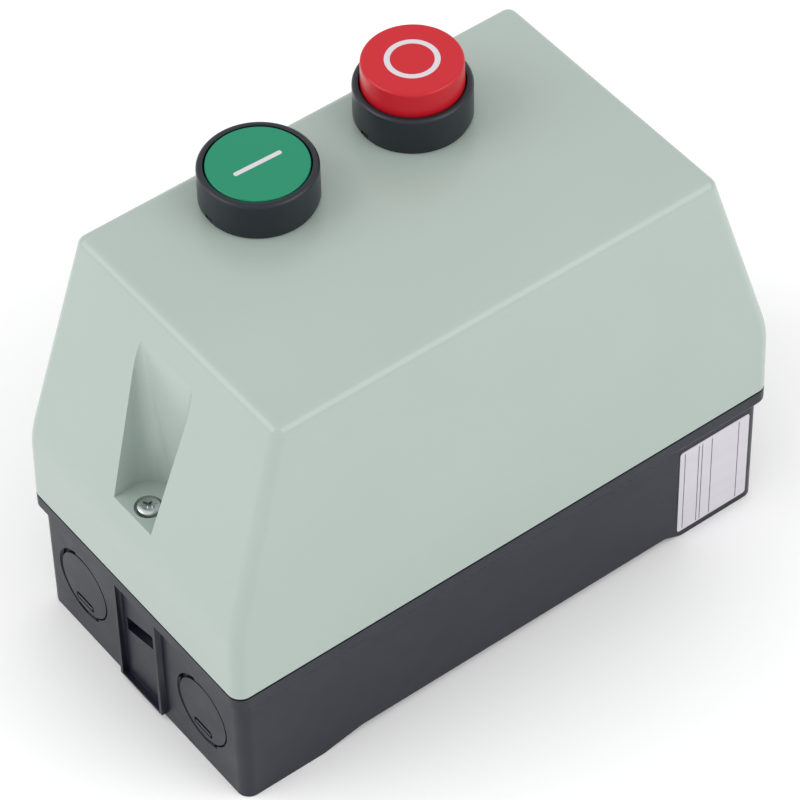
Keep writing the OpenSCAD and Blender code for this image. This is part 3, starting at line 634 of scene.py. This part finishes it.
def cover_line(out, inset, low_z, high_z):
    """Points up the cover's skin on one side of a corner, whose direction in plan is out."""
    sizes = bpy.context.scene.starter_cover
    corner = sizes.corner - inset
    ball = max(sizes.face_edge - inset, 0.5 * MM)
    foot = 0.25 * MM
    bend, roll = 6, 8
    fold_z = BASE_HIGH.z + sizes.joint_gap + sizes.fold - inset / 4
    corner_x, corner_y = COVER_HIGH.x - sizes.corner, COVER_HIGH.y - sizes.corner
    fold_c = Vector((COVER_HIGH.x - sizes.lean - sizes.corner, corner_y, fold_z))
    top_c = Vector((sizes.face_l / 2 - sizes.face_edge, sizes.face_w / 2 - sizes.face_edge,
                    high_z - sizes.face_edge))
    away = fold_c + corner * out
    tilt = tilt_of((away - top_c).dot(out), away.z - top_c.z, ball)
    low = Vector((corner_x, corner_y, low_z)) + corner * out
    touch = top_c + ball * (math.cos(tilt) * out + Vector((0, 0, math.sin(tilt))))
    line = []
    if inset == 0:
        line.append(low - foot * out)
        low = low + Vector((0, 0, foot))
    line.append(low)
    below = away + (low - away).normalized() * sizes.fold_blend
    above = away + (touch - away).normalized() * sizes.fold_blend
    for step in range(bend + 1):
        t = step / bend
        line.append((1 - t) ** 2 * below + 2 * t * (1 - t) * away + t * t * above)
    for share in (0.33, 0.66):
        line.append(above.lerp(touch, share))
    for step in range(roll + 1):
        lift = tilt + (math.pi / 2 - tilt) * step / roll
        line.append(top_c + ball * (math.cos(lift) * out + Vector((0, 0, math.sin(lift)))))
    return line


def cover_rings(inset, low_z, high_z):
    """Rings of the cover's skin, or of its inner skin when inset is the wall."""
    steps = bpy.context.scene.starter_stage.corner_steps
    angles = [math.radians(90 * k / steps) for k in range(steps + 1)]
    lines = [cover_line(Vector((math.cos(a), math.sin(a), 0)), inset, low_z, high_z) for a in angles]
    rings = []
    for level in range(len(lines[0])):
        ring = []
        for sx, sy in ((1, 1), (-1, 1), (-1, -1), (1, -1)):
            order = lines if sx * sy > 0 else list(reversed(lines))
            ring += [Vector((sx * line[level].x, sy * line[level].y, line[level].z)) for line in order]
        rings.append(ring)
    return rings


def tilt_of(reach, drop, ball):
    """Upward tilt of the face that runs from the fold up to the round edge of the front."""
    span = math.hypot(reach, drop)
    return math.acos(ball / span) - math.atan2(-drop, reach)


def pocket_mesh(side, grow, floor_z):
    """Wedge with round inner corners that is cut for a cover screw, larger by grow all round."""
    sizes = bpy.context.scene.starter_cover
    outside = COVER_HIGH.x + 5 * MM
    levels, over = 10, 1.04
    low_corner, taper, least = sizes.pocket_low - 0.6 * MM, 5.6 * MM, 1.2 * MM
    quarter = [math.radians(90 * k / 8) for k in range(9)]
    back = sizes.pocket_x - grow
    rings = []
    for step in range(levels + 1):
        t = step / levels * over
        z = floor_z + t * (sizes.pocket_top - floor_z)
        half = sizes.pocket_low + (sizes.pocket_high - sizes.pocket_low) * t + grow
        corner = max(low_corner - taper * t, least)
        points = [(outside, -half)]
        points += [(back + corner - corner * math.sin(a), -half + corner - corner * math.cos(a))
                   for a in quarter]
        points += [(back + corner - corner * math.cos(a), half - corner + corner * math.sin(a))
                   for a in quarter]
        points.append((outside, half))
        rings.append([(side * x, y, z) for x, y in points])
    bm = bmesh.new()
    loft(bm, rings, 1)
    return closed(bm)


def cover_room(low_z, high_z, screw_x):
    """The hollow of the cover, which leaves the pockets their walls and the screws their pillars."""
    sizes = bpy.context.scene.starter_cover
    pocket_wall, pillar_r, past = 2.2 * MM, 4.3 * MM, 2 * MM
    bm = bmesh.new()
    loft(bm, cover_rings(sizes.wall, low_z - 1 * MM, high_z))
    room = new_piece("room", closed(bm))
    for side in (-1, 1):
        carve(room, pocket_mesh(side, pocket_wall, sizes.pocket_z - pocket_wall))
        carve(room, cylinder(pillar_r, low_z - past, sizes.pocket_z, (side * screw_x, 0), 48))
    return as_bmesh(room)


class STARTER_OT_cover(bpy.types.Operator):
    """Build the sloped cover with its screw pockets"""

    bl_idname = "starter.cover"
    bl_label = "Cover"

    def execute(self, context):
        sizes = context.scene.starter_cover
        low_z = BASE_HIGH.z + sizes.joint_gap
        high_z = COVER_HIGH.z
        screw_x = SCREWS_HIGH.x - (SCREWS_HIGH.y - SCREWS_LOW.y) / 2
        bm = bmesh.new()
        loft(bm, cover_rings(0, low_z, high_z))
        cover = new_piece("cover_shell", closed(bm))
        # one slot for the skin and one for the pockets, until their shared edges are rounded
        for _ in range(2):
            cover.data.materials.append(None)
        carve(cover, cover_room(low_z, high_z, screw_x))
        for side in (-1, 1):
            self.cut_pocket(cover, side, screw_x, low_z)
        for node in ("start_bezel", "stop_bezel"):
            low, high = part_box(node)
            carve(cover, cylinder(sizes.hole_r, high_z - 8 * MM, high_z + 1 * MM, middle_of(low, high), 96))
        round_pocket_rims(cover)
        shade(cover, 30)
        hand_over(cover, finish_of("cover_plastic"), "top_cover")
        return {"FINISHED"}

    def cut_pocket(self, cover, side, screw_x, low_z):
        """Cuts one screw pocket, and the seat and bore of its screw."""
        sizes = bpy.context.scene.starter_cover
        bore_r, under_z = 2.1 * MM, low_z - 3 * MM
        seat_z, over_z = sizes.pocket_z - sizes.seat_d, sizes.pocket_z + 1 * MM
        carve(cover, pocket_mesh(side, 0, sizes.pocket_z), slots=2)
        carve(cover, turned([(0, under_z), (bore_r, under_z), (bore_r, seat_z), (sizes.seat_r, seat_z),
                             (sizes.seat_r, over_z), (0, over_z)], (side * screw_x, 0, 0), 60))


def round_pocket_rims(cover):
    """Rounds the edges where the pockets open through the skin."""
    bm = bmesh.new()
    bm.from_mesh(cover.data)
    bmesh.ops.remove_doubles(bm, verts=bm.verts, dist=1e-6)
    rims = [edge for edge in bm.edges if len(edge.link_faces) == 2
            and edge.link_faces[0].material_index != edge.link_faces[1].material_index]
    bmesh.ops.bevel(bm, geom=rims, offset=0.7 * MM, segments=3, profile=0.5, affect="EDGES",
                    clamp_overlap=True)
    bm.to_mesh(cover.data)
    bm.free()


# ---------------------------------------------------------------- base and fastenings


class STARTER_OT_base(bpy.types.Operator):
    """Build the base, the rim seal, the nuts and the rating plate"""

    bl_idname = "starter.base"
    bl_label = "Base"

    def execute(self, context):
        lip, lip_drop = 37.5 * MM, 2.9 * MM
        crisp = (lip, lip - lip_drop)
        base = soften(copy_of("base_housing"), 0.08 * MM, 2, 32, crisp)
        carve(base, as_bmesh(join("breakout_gaps", list(breakout_gaps()))))
        shade(base, 42, crisp)
        hand_over(base, finish_of("base_plastic"), "base_housing")
        hand_over(soften(copy_of("rim_gasket"), 0.25 * MM), finish_of("gasket_rubber"), "rim_gasket")
        hand_over(soften(copy_of("cover_nuts"), 0.25 * MM), finish_of("nut_brass"), "cover_nuts")
        self.build_plate()
        return {"FINISHED"}

    def build_plate(self):
        """The blank plate and the rules on it."""
        low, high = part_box("rating_plate")
        length, height = high.x - low.x, high.z - low.z
        corner, rule_half, proud = 0.9 * MM, 0.11 * MM, 0.04 * MM
        centre = ((low.x + high.x) / 2, (low.z + high.z) / 2)
        outline = rounded(length, height, corner, 0, 6, centre)
        bm = bmesh.new()
        loft(bm, [[(x, y, z) for x, z, _ in outline] for y in (high.y, low.y + proud)])
        plate = soften(new_piece("blank_rating_plate", closed(bm)), 0.05 * MM)
        hand_over(plate, finish_of("plate_silver"), "rating_plate")
        rules = join("rating_plate_rules", [
            new_piece("rule", box_mesh((low.x + x - rule_half, low.y, low.z + z0),
                                       (low.x + x + rule_half, low.y + 0.2 * MM, low.z + z1)))
            for x, z0, z1 in plate_rules(length, height)])
        rules.data.materials.append(finish_of("rule_grey"))
        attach(rules, "base")


def breakout_gaps():
    """Deeper part of the gap round each cable knockout, and the slot for a screwdriver beside its bar."""
    wall_x, pitch, middle = 83.3 * MM, 51.9 * MM, 19.1 * MM
    inner, outer, depth, past = 9.9 * MM, 10.95 * MM, 1.7 * MM, 1 * MM
    start, sweep, steps = 105, 195, 39
    slot_low, slot_high = (-2.7 * MM, -6.4 * MM), (3.4 * MM, -5.4 * MM)
    for end in (-1, 1):
        deep, out = end * (wall_x - depth), end * (wall_x + past)
        section = ((deep, inner), (deep, outer), (out, outer), (out, inner))
        for y in (-pitch / 2, pitch / 2):
            bm = bmesh.new()
            rings = []
            for k in range(steps + 1):
                a = math.radians(start + sweep * k / steps)
                rings.append([(x, y - r * math.cos(a), middle + r * math.sin(a)) for x, r in section])
            loft(bm, rings)
            yield new_piece("gap", closed(bm))
            low, high = sorted((deep, out))
            yield new_piece("slot", closed(box_mesh((low, y + slot_low[0], middle + slot_low[1]),
                                                    (high, y + slot_high[0], middle + slot_high[1]))))


def plate_rules(length, height):
    """Place and two ends of each upright rule on the plate."""
    shares = (0.07, 0.27, 0.32, 0.46, 0.85)
    return [(share * length, (0.03 if share < 0.1 else 0.02) * height, 0.97 * height) for share in shares]


def screw_mesh(name, head_r, head_h, shank_r, length, pitch, blade):
    """Pan-head screw with a cross recess and a threaded shank, its head standing on z = 0."""
    crest = head_h * 0.98
    above, set_at = crest + 1 * MM, 18
    section = [(0, crest), (head_r * 0.6, crest * 0.985), (head_r * 0.8, crest * 0.94),
               (head_r * 0.93, crest * 0.82), (head_r, crest * 0.56), (head_r, crest * 0.12),
               (head_r * 0.95, 0), (shank_r, 0)]
    turns = max(1, int((length - 2 * pitch) / pitch))
    for k in range(turns):
        z = -pitch * (k + 1)
        section += [(shank_r * 0.82, z + 0.5 * pitch), (shank_r, z)]
    section += [(shank_r * 0.8, -length + 0.4 * pitch), (shank_r * 0.5, -length), (0, -length)]
    screw = new_piece(name, turned(section, (0, 0, 0), 40))
    depth = head_h * 0.62
    arms = ((blade * 0.45, 0.32 * blade * 0.5, crest - depth), (blade, 0.36 * blade * 0.5, above))
    for turn in (0, 90):
        cross = bmesh.new()
        loft(cross, [[(-x, -y, z), (x, -y, z), (x, y, z), (-x, y, z)] for x, y, z in arms])
        carve(screw, closed(swivel(cross, turn + set_at)))
    tick_l, tick_w = head_r * 0.72, 0.05 * MM
    for turn in (45, 135):
        tick = box_mesh((-tick_l, -tick_w, crest * 0.86), (tick_l, tick_w, above))
        carve(screw, closed(swivel(tick, turn + set_at)))
    return shade(screw, 28)


class STARTER_OT_screws(bpy.types.Operator):
    """Build the cover screws, the rail screws and the earth screws"""

    bl_idname = "starter.screws"
    bl_label = "Screws"

    def execute(self, context):
        zinc = finish_of("screw_zinc")
        rows = row_tree()
        low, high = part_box("cover_screws")
        head_r, head_h = 3.1 * MM, 2.2 * MM
        length = high.z - low.z - head_h
        screw = screw_mesh("cover_screw", head_r, head_h, 1.75 * MM, length, 0.7 * MM, 2.25 * MM)
        pair = grown("cover_screw_pair", as_bmesh(screw), rows, Count=2, Material=zinc,
                     First=(low.x + head_r, 0, high.z - head_h), Step=(high.x - low.x - 2 * head_r, 0, 0))
        hand_over(pair, zinc, "cover_screws")
        low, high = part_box("rail_screws")
        head_r, length = (high.x - low.x) / 2, high.z - low.z - head_h
        screw = screw_mesh("rail_screw", head_r, head_h, 1.6 * MM, length, 0.8 * MM, 2.3 * MM)
        pair = grown("rail_screw_pair", as_bmesh(screw), rows, Count=2, Material=zinc,
                     First=((low.x + high.x) / 2, low.y + head_r, high.z - head_h),
                     Step=(0, high.y - low.y - 2 * head_r, 0))
        hand_over(pair, zinc, "rail_screws")
        low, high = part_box("earth_screw")
        head_r, head_h = (high.y - low.y) / 2, 2 * MM
        length = high.z - low.z - head_h
        screw = screw_mesh("earth_screw_one", head_r, head_h, 1.9 * MM, length, 0.8 * MM, 2.0 * MM)
        three = grown("earth_screw_row", as_bmesh(screw), rows, Count=3, Material=zinc,
                      First=(low.x + head_r, (low.y + high.y) / 2, high.z - head_h),
                      Step=((high.x - low.x - 2 * head_r) / 2, 0, 0))
        hand_over(three, zinc, "earth_screw")
        return {"FINISHED"}


# ---------------------------------------------------------------- buttons


def button_centre(node):
    """Centre of a button's part, on the front face."""
    return (*middle_of(*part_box(node)), COVER_HIGH.z)


def collar_profile():
    """Section of a collar with its threaded neck, as (radius, height above the front)."""
    sizes = bpy.context.scene.starter_buttons
    out, top, neck, low = sizes.collar_r, sizes.collar_h, sizes.neck_r, -sizes.neck_h
    inner = sizes.cap_r + 0.3 * MM
    stem_r, well_r, floor_t = 4.08 * MM, 9 * MM, 2 * MM
    edge, lip, foot = 1.1 * MM, 0.25 * MM, 0.3 * MM
    seal, root = 0.8 * MM, neck - 0.55 * MM
    thread_z = low + 0.4 * MM
    section = [(stem_r, low), (neck - 0.8 * MM, low)]
    turns = int((sizes.neck_h - 7 * MM) / sizes.pitch)
    for k in range(turns):
        z = thread_z + k * sizes.pitch
        section += [(root, z), (neck, z + 0.5 * sizes.pitch)]
    section += [(root, thread_z + turns * sizes.pitch), (neck, low + turns * sizes.pitch + 1.4 * MM)]
    section += [(neck, seal), (out - 0.4 * MM, seal)]
    section += arc(out - foot, 1.1 * MM, foot, -90, 0, 3)
    section += arc(out - edge, top - edge, edge, 0, 90, 7)
    section += arc(inner + lip, top - lip, lip, 90, 180, 4)
    section += [(inner, floor_t), (well_r, floor_t), (well_r, low + floor_t), (stem_r, low + floor_t)]
    return section


def cap_profile(low, high, edge, dish):
    """Section of a cap, with a slight taper, a round edge and a shallow dish in its top."""
    radius = bpy.context.scene.starter_buttons.cap_r
    socket_r, socket_z, taper = 3.5 * MM, low + 2.5 * MM, 0.12 * MM
    section = [(0, socket_z), (socket_r, socket_z), (socket_r, low), (radius, low)]
    section += arc(radius - taper - edge, high - edge, edge, 4, 86, 8)
    section += [(radius - 2.2 * MM, high - dish * 0.6), (radius * 0.5, high - dish), (0, high - dish)]
    return section


class STARTER_OT_buttons(bpy.types.Operator):
    """Build the two push buttons with their seals, nuts, stems and marks"""

    bl_idname = "starter.buttons"
    bl_label = "Buttons"

    def execute(self, context):
        sizes = context.scene.starter_buttons
        for key in ("start", "stop"):
            self.build_collar(key, sizes)
            self.build_cap(key)
            for part in ("plunger", "rod"):
                node = f"{key}_{part}"
                hand_over(soften(copy_of(node), 0.25 * MM), finish_of("stem_plastic"), node)
        self.build_marks(sizes)
        hand_over(soften(copy_of("bezel_seals"), 0.15 * MM), finish_of("gasket_rubber"), "bezel_seals")
        self.build_ring_nuts()
        return {"FINISHED"}

    def build_collar(self, key, sizes):
        """One collar with its threaded neck and the notch at its foot."""
        x, y, z = button_centre(f"{key}_bezel")
        collar = new_piece(f"{key}_collar", turned(collar_profile(), (x, y, z), 128))
        rim_x, half, depth, height = x - sizes.collar_r, 1.4 * MM, 0.85 * MM, 2.1 * MM
        carve(collar, box_mesh((rim_x - 1 * MM, y - half, z), (rim_x + depth, y + half, z + height)))
        shade(collar, 34)
        hand_over(collar, finish_of("bezel_plastic"), f"{key}_bezel")

    def build_cap(self, key):
        """One coloured cap, with a crisper edge on the flush one."""
        low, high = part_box(f"{key}_cap")
        centre = button_centre(f"{key}_cap")
        dish = 0.03 * MM
        edge = (0.4 if key == "start" else 0.8) * MM
        profile = cap_profile(low.z - centre[2], high.z - centre[2], edge, dish)
        cap = shade(new_piece(f"{key}_button", turned(profile, centre, 128)), 50)
        hand_over(cap, finish_of("start_green" if key == "start" else "stop_red"), f"{key}_cap")

    def build_marks(self, sizes):
        """The bar on the start cap and the ring on the stop cap."""
        white = finish_of("mark_white")
        low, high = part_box("start_mark")
        x, y, _ = button_centre("start_mark")
        outline = rounded(sizes.bar_l, sizes.bar_w, sizes.bar_w * 0.42, 0, 6)
        bm = bmesh.new()
        loft(bm, [[(px, py, z) for px, py, _ in outline] for z in (low.z, high.z)])
        swivel(bm, -2)
        bmesh.ops.translate(bm, verts=bm.verts, vec=(x, y, 0))
        hand_over(soften(new_piece("start_bar", closed(bm)), 0.03 * MM), white, "start_mark")
        low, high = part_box("stop_mark")
        x, y, _ = button_centre("stop_mark")
        inner, outer = sizes.ring_in, sizes.ring_out
        worn, shoulder = 0.03 * MM, high.z - 0.02 * MM
        section = [(inner, low.z), (outer, low.z), (outer, shoulder), (outer - worn, high.z),
                   (inner + worn, high.z), (inner, shoulder)]
        ring = shade(new_piece("stop_ring", turned(section, (x, y, 0), 96)), 30)
        hand_over(ring, white, "stop_mark")

    def build_ring_nuts(self):
        """The two ribbed nuts that hold the necks under the cover."""
        finish = finish_of("bezel_plastic")
        low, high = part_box("bezel_nuts")
        bore, body_r, rib_r = 11.04 * MM, 12.4 * MM, (high.y - low.y) / 2
        rib_w, rib_corner, short, bevel = 3 * MM, 0.35 * MM, 0.1 * MM, 0.3 * MM
        height, depth = high.z - low.z, rib_r - body_r
        section = [(bore, bevel), (bore + bevel, 0), (body_r, 0), (body_r, height),
                   (bore + bevel, height), (bore, height - bevel)]
        tree = ring_tree()
        nuts = []
        for x in (low.x + rib_r, high.x - rib_r):
            y = (low.y + high.y) / 2
            nuts.append(new_piece("nut_ring", turned(section, (x, y, low.z), 96)))
            rib = bmesh.new()
            loft(rib, [rounded(2 * depth, rib_w, rib_corner, z, 3) for z in (short, height - short)])
            nuts.append(grown("nut_ribs", closed(rib), tree, Count=12, Radius=body_r - 0.02 * MM,
                              Centre=(x, y, low.z), Material=finish))
        pair = soften(join("bezel_ring_nuts", nuts), 0.12 * MM)
        hand_over(pair, finish, "bezel_nuts")


# ---------------------------------------------------------------- springs


class STARTER_OT_springs(bpy.types.Operator):
    """Wind the springs, and give each one that has a joint a mesh of its own"""

    bl_idname = "starter.springs"
    bl_label = "Springs"

    def execute(self, context):
        steel = finish_of("spring_steel")
        tree = spring_tree()
        # node, count, coil radius, wire radius, turns, joint that squeezes it
        rows = (
            ("start_spring", 1, 6.2, 0.55, 6.5, "start_press"),
            ("stop_spring", 1, 6.2, 0.55, 6.5, "stop_press"),
            ("return_springs", 2, 2.0, 0.28, 6, "contactor_pull_in"),
            ("contact_springs", 4, 1.7, 0.24, 4, None),
            ("start_block_spring", 1, 1.6, 0.15, 5, "start_contact_press"),
            ("reset_spring", 1, 1.8, 0.28, 7, "reset_press"),
        )
        for node, count, coil_r, wire_r, turns, joint in rows:
            low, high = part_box(node)
            x, y = middle_of(low, high)
            step = 0
            if count > 1:
                outer = (coil_r + wire_r) * MM
                y = low.y + outer
                step = (high.y - low.y - 2 * outer) / (count - 1)
            seed = bmesh.new()
            seed.verts.new((0, 0, 0))
            wire = {"Coil radius": coil_r * MM, "Wire radius": wire_r * MM, "Turns": float(turns)}
            piece = grown(node + "_wound", seed, tree, Count=count, First=(x, y, low.z + wire_r * MM),
                          Step=(0, step, 0), Height=high.z - low.z - 2 * wire_r * MM, Material=steel, **wire)
            shade(piece, 40)
            hand_over(piece, steel, node)
            if joint:
                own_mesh(piece)
        return {"FINISHED"}


# ---------------------------------------------------------------- switchgear


def e_outline(low, high, leg, middle, back, upward):
    """Corner points of an E-shaped sheet in X and Z, its legs up or down."""
    x0, x1, z0, z1 = low.x, high.x, low.z, high.z
    cx = (x0 + x1) / 2
    foot = z0 if upward else z1
    tip = z1 if upward else z0
    spine = foot + back if upward else foot - back
    return [(x0, foot), (x1, foot), (x1, tip), (x1 - leg, tip), (x1 - leg, spine), (cx + middle / 2, spine),
            (cx + middle / 2, tip), (cx - middle / 2, tip), (cx - middle / 2, spine), (x0 + leg, spine),
            (x0 + leg, tip), (x0, tip)]


class STARTER_OT_magnet(bpy.types.Operator):
    """Stack the core and the armature from sheets, and wind the coil"""

    bl_idname = "starter.magnet"
    bl_label = "Magnet and coil"

    def execute(self, context):
        tree = row_tree()
        for node, upward in (("magnet_core", True), ("armature", False)):
            self.stack_sheets(node, upward, tree)
        self.wind_coil(tree)
        return {"FINISHED"}

    def stack_sheets(self, node, upward, tree):
        """One half of the magnet, as a stack of E-shaped sheets with bevelled edges."""
        steel = finish_of("lamination_steel")
        low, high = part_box(node)
        count, leg, middle, back, air = 24, 7 * MM, 12 * MM, 6 * MM, 0.02 * MM
        pitch = (high.y - low.y) / count
        outline = e_outline(low, high, leg, middle, back, upward)
        sheet = bmesh.new()
        loft(sheet, [[(x, y, z) for x, z in outline] for y in (air, pitch - air)])
        bmesh.ops.bevel(closed(sheet), geom=sheet.edges[:], offset=0.05 * MM, segments=1, affect="EDGES")
        stack = grown(node + "_sheets", sheet, tree, Count=count, First=(0, low.y, 0),
                      Step=(0, pitch, 0), Material=steel)
        hand_over(shade(stack, 30), steel, node)

    def wind_coil(self, tree):
        """The bobbin with its square opening, and the turns of wire on it."""
        low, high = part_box("coil")
        centre = middle_of(low, high)
        length, width = high.x - low.x, high.y - low.y
        flange, rim, opening, wire_r = 1.5 * MM, 3 * MM, 6.5 * MM, 0.32 * MM
        bobbin = []
        for less, low_z, high_z, past in (
            (0, low.z, low.z + flange, 1.5 * MM),
            (0, high.z - flange, high.z, 1.5 * MM),
            (rim, low.z, high.z, 1 * MM),
        ):
            bm = bmesh.new()
            loft(bm, [rounded(length - less, width - less, 1 * MM, z, 4, centre) for z in (low_z, high_z)])
            cutter = box_mesh((centre[0] - opening, centre[1] - opening, low_z - 1 * MM),
                              (centre[0] + opening, centre[1] + opening, high_z + past))
            bobbin.append(carve(new_piece("bobbin", closed(bm)), cutter))
        wire = bmesh.new()
        loops = []
        for a in (math.radians(45 * k) for k in range(8)):
            grow = 2 * wire_r * math.cos(a)
            loops.append(rounded(length - rim + grow, width - rim + grow, 1.4 * MM, wire_r * math.sin(a), 4))
        rows = [[wire.verts.new(p) for p in loop] for loop in loops]
        for near, far in zip(rows, rows[1:] + rows[:1]):
            for k in range(len(near)):
                j = (k + 1) % len(near)
                wire.faces.new((near[k], near[j], far[j], far[k]))
        turns = int((high.z - low.z - 2 * flange) / (2 * wire_r))
        tape = finish_of("coil_tape")
        bobbin.append(grown("winding", closed(wire), tree, Count=turns, Material=tape,
                            First=(*centre, low.z + flange + wire_r), Step=(0, 0, 2 * wire_r)))
        hand_over(shade(join("coil_wound", bobbin), 35), tape, "coil")


class STARTER_OT_terminals(bpy.types.Operator):
    """Set the terminal screws of the contactor and the relay"""

    bl_idname = "starter.terminals"
    bl_label = "Terminal screws"

    def execute(self, context):
        zinc = finish_of("screw_zinc")
        tree = row_tree()
        low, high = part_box("contactor_screws")
        pitch, link, half = 10 * MM, 1.6 * MM, 3.2 * MM
        first_y = low.y + half
        rows = [
            (low.x + half, first_y, low.z, 4),
            (high.x - half, first_y, low.z + link, 3),
            (high.x - half, first_y + 3 * pitch, low.z, 1),
        ]
        groups = [grown("terminal_row", as_bmesh(terminal_mesh()), tree, Count=count, Material=zinc,
                        First=(x, y, z), Step=(0, pitch, 0)) for x, y, z, count in rows]
        hand_over(shade(join("contactor_terminal_screws", groups), 28), zinc, "contactor_screws")
        low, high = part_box("relay_screws")
        row = grown("relay_terminal_screws", as_bmesh(terminal_mesh()), tree, Count=3, Material=zinc,
                    First=((low.x + high.x) / 2, low.y + half, low.z), Step=(0, pitch, 0))
        hand_over(shade(row, 28), zinc, "relay_screws")
        return {"FINISHED"}


def terminal_mesh():
    """Slotted screw head on its square washer, the washer's lower face on z = 0."""
    side, corner, plate_t = 6.4 * MM, 0.6 * MM, 1 * MM
    washer = bmesh.new()
    loft(washer, [rounded(side - 2 * inset, side - 2 * inset, corner, z, 3)
                  for inset, z in ((0.1 * MM, 0), (0, 0.1 * MM), (0, 0.9 * MM), (0.12 * MM, plate_t))])
    head_r, flank_z, edge = 2.9 * MM, 2.9 * MM, 0.5 * MM
    profile = [(0, plate_t), (head_r - 0.2 * MM, plate_t), (head_r, 1.2 * MM), (head_r, flank_z)]
    profile += arc(head_r - edge, flank_z, edge, 0, 90, 4) + [(0, 3.4 * MM)]
    head = new_piece("head", turned(profile, (0, 0, 0), 32))
    for turn, half_l, half_w in ((20, 3 * MM, 0.4 * MM), (110, 1.7 * MM, 0.35 * MM)):
        slot = box_mesh((-half_l, -half_w, 2.4 * MM), (half_l, half_w, 4 * MM))
        carve(head, closed(swivel(slot, turn)))
    return join("terminal", [new_piece("washer", closed(washer)), head])


class STARTER_OT_mouldings(bpy.types.Operator):
    """Round the edges of the remaining parts and give them their finishes"""

    bl_idname = "starter.mouldings"
    bl_label = "Switchgear parts"

    def execute(self, context):
        # rounding of each part's edges in millimetres
        edges = {
            "din_rail": 0.2, "earth_bar": 0.3, "contactor_base": 0.35, "contactor_head": 0.3,
            "contact_carrier": 0.25, "moving_contacts": 0.12, "fixed_contacts": 0.12, "shading_rings": 0.12,
            "start_block": 0.3, "start_block_plunger": 0.2, "relay_base": 0.35, "relay_head": 0.3,
            "relay_links": 0.15, "relay_terminals": 0.12, "bimetals": 0.06, "trip_slide": 0.2,
            "current_dial": 0.12, "reset_button": 0.3,
        }
        for node, width in edges.items():
            hand_over(soften(copy_of(node), width * MM), finish_of(slot_of(node)), node)
        return {"FINISHED"}


# ---------------------------------------------------------------- stage


class STARTER_OT_stage(bpy.types.Operator):
    """Set the floor, the soft lights and the camera"""

    bl_idname = "starter.stage"
    bl_label = "Stage"

    def execute(self, context):
        settings = context.scene.starter_stage
        self.lay_floor(settings)
        self.light_up(context.scene, settings)
        self.set_camera(context.scene, settings)
        context.scene.view_settings.view_transform = "Standard"
        return {"FINISHED"}

    def lay_floor(self, settings):
        """A plain pale floor just under the base."""
        half, thick, drop = settings.floor_side / 2, 20 * MM, 0.1 * MM
        floor = new_piece("floor", box_mesh((-half, -half, -thick), (half, half, -drop)))
        material, tree, shader, place = fresh_material("pale_floor")
        pale, paler = (0.94, 0.94, 0.94), (0.95, 0.95, 0.95)
        tree.links.new(tint(tree, noise(tree, place, 3, 2), pale, paler), shader.inputs["Base Color"])
        shader.inputs["Roughness"].default_value = 0.8
        floor.data.materials.append(material)

    def light_up(self, scene, settings):
        """An even white surrounding and two softboxes that face the starter."""
        world = bpy.data.worlds.new("studio")
        world.use_nodes = True
        sky = world.node_tree.nodes["Background"]
        sky.inputs["Color"].default_value = (1, 1, 1, 1)
        sky.inputs["Strength"].default_value = settings.sky
        scene.world = world
        target = Vector((0, 0, 0.06))
        # name, place, side, watts
        for name, spot, side, power in (
            ("left_softbox", (-1.20, 0.55, 0.95), 1.2, 10),
            ("right_softbox", (0.60, -1.15, 1.05), 1.2, 9.8),
        ):
            data = bpy.data.lights.new(name, "AREA")
            data.size = side
            data.energy = power
            lamp = bpy.data.objects.new(name, data)
            lamp.location = spot
            lamp.rotation_euler = (target - Vector(spot)).to_track_quat("-Z", "Y").to_euler()
            scene.collection.objects.link(lamp)

    def set_camera(self, scene, settings):
        """The camera, from its place and its two directions."""
        right, up = Vector(settings.right), Vector(settings.up)
        data = bpy.data.cameras.new("camera")
        data.lens = settings.lens
        data.sensor_width = 36
        data.clip_start, data.clip_end = 0.05, 20
        camera = bpy.data.objects.new("camera", data)
        turn = Matrix((right, up, right.cross(up))).transposed().to_4x4()
        camera.matrix_world = Matrix.Translation(Vector(settings.camera)) @ turn
        scene.collection.objects.link(camera)
        scene.camera = camera


# ---------------------------------------------------------------- panel and registration


STEPS = (STARTER_OT_cover, STARTER_OT_base, STARTER_OT_screws, STARTER_OT_buttons, STARTER_OT_springs,
         STARTER_OT_magnet, STARTER_OT_terminals, STARTER_OT_mouldings, STARTER_OT_stage)
GROUPS = {"starter_cover": CoverSizes, "starter_buttons": ButtonSizes,
          "starter_finishes": Finishes, "starter_stage": StageSettings}


class STARTER_PT_panel(bpy.types.Panel):
    """Lists the building steps of the starter"""

    bl_idname = "STARTER_PT_panel"
    bl_label = "Motor starter"
    bl_space_type = "VIEW_3D"
    bl_region_type = "UI"
    bl_category = "Starter"

    def draw(self, context):
        for step in STEPS:
            self.layout.operator(step.bl_idname)


def register():
    """Registers the classes and gives the scene its settings."""
    for item in (*GROUPS.values(), *STEPS, STARTER_PT_panel):
        bpy.utils.register_class(item)
    for name, group in GROUPS.items():
        setattr(bpy.types.Scene, name, PointerProperty(type=group))


def unregister():
    """Takes the settings and the classes away again."""
    for name in GROUPS:
        delattr(bpy.types.Scene, name)
    for item in reversed((*GROUPS.values(), *STEPS, STARTER_PT_panel)):
        bpy.utils.unregister_class(item)


def main():
    """Builds everything."""
    register()
    for step in STEPS:
        group, name = step.bl_idname.split(".")
        getattr(getattr(bpy.ops, group), name)()


if __name__ == "__main__":
    main()
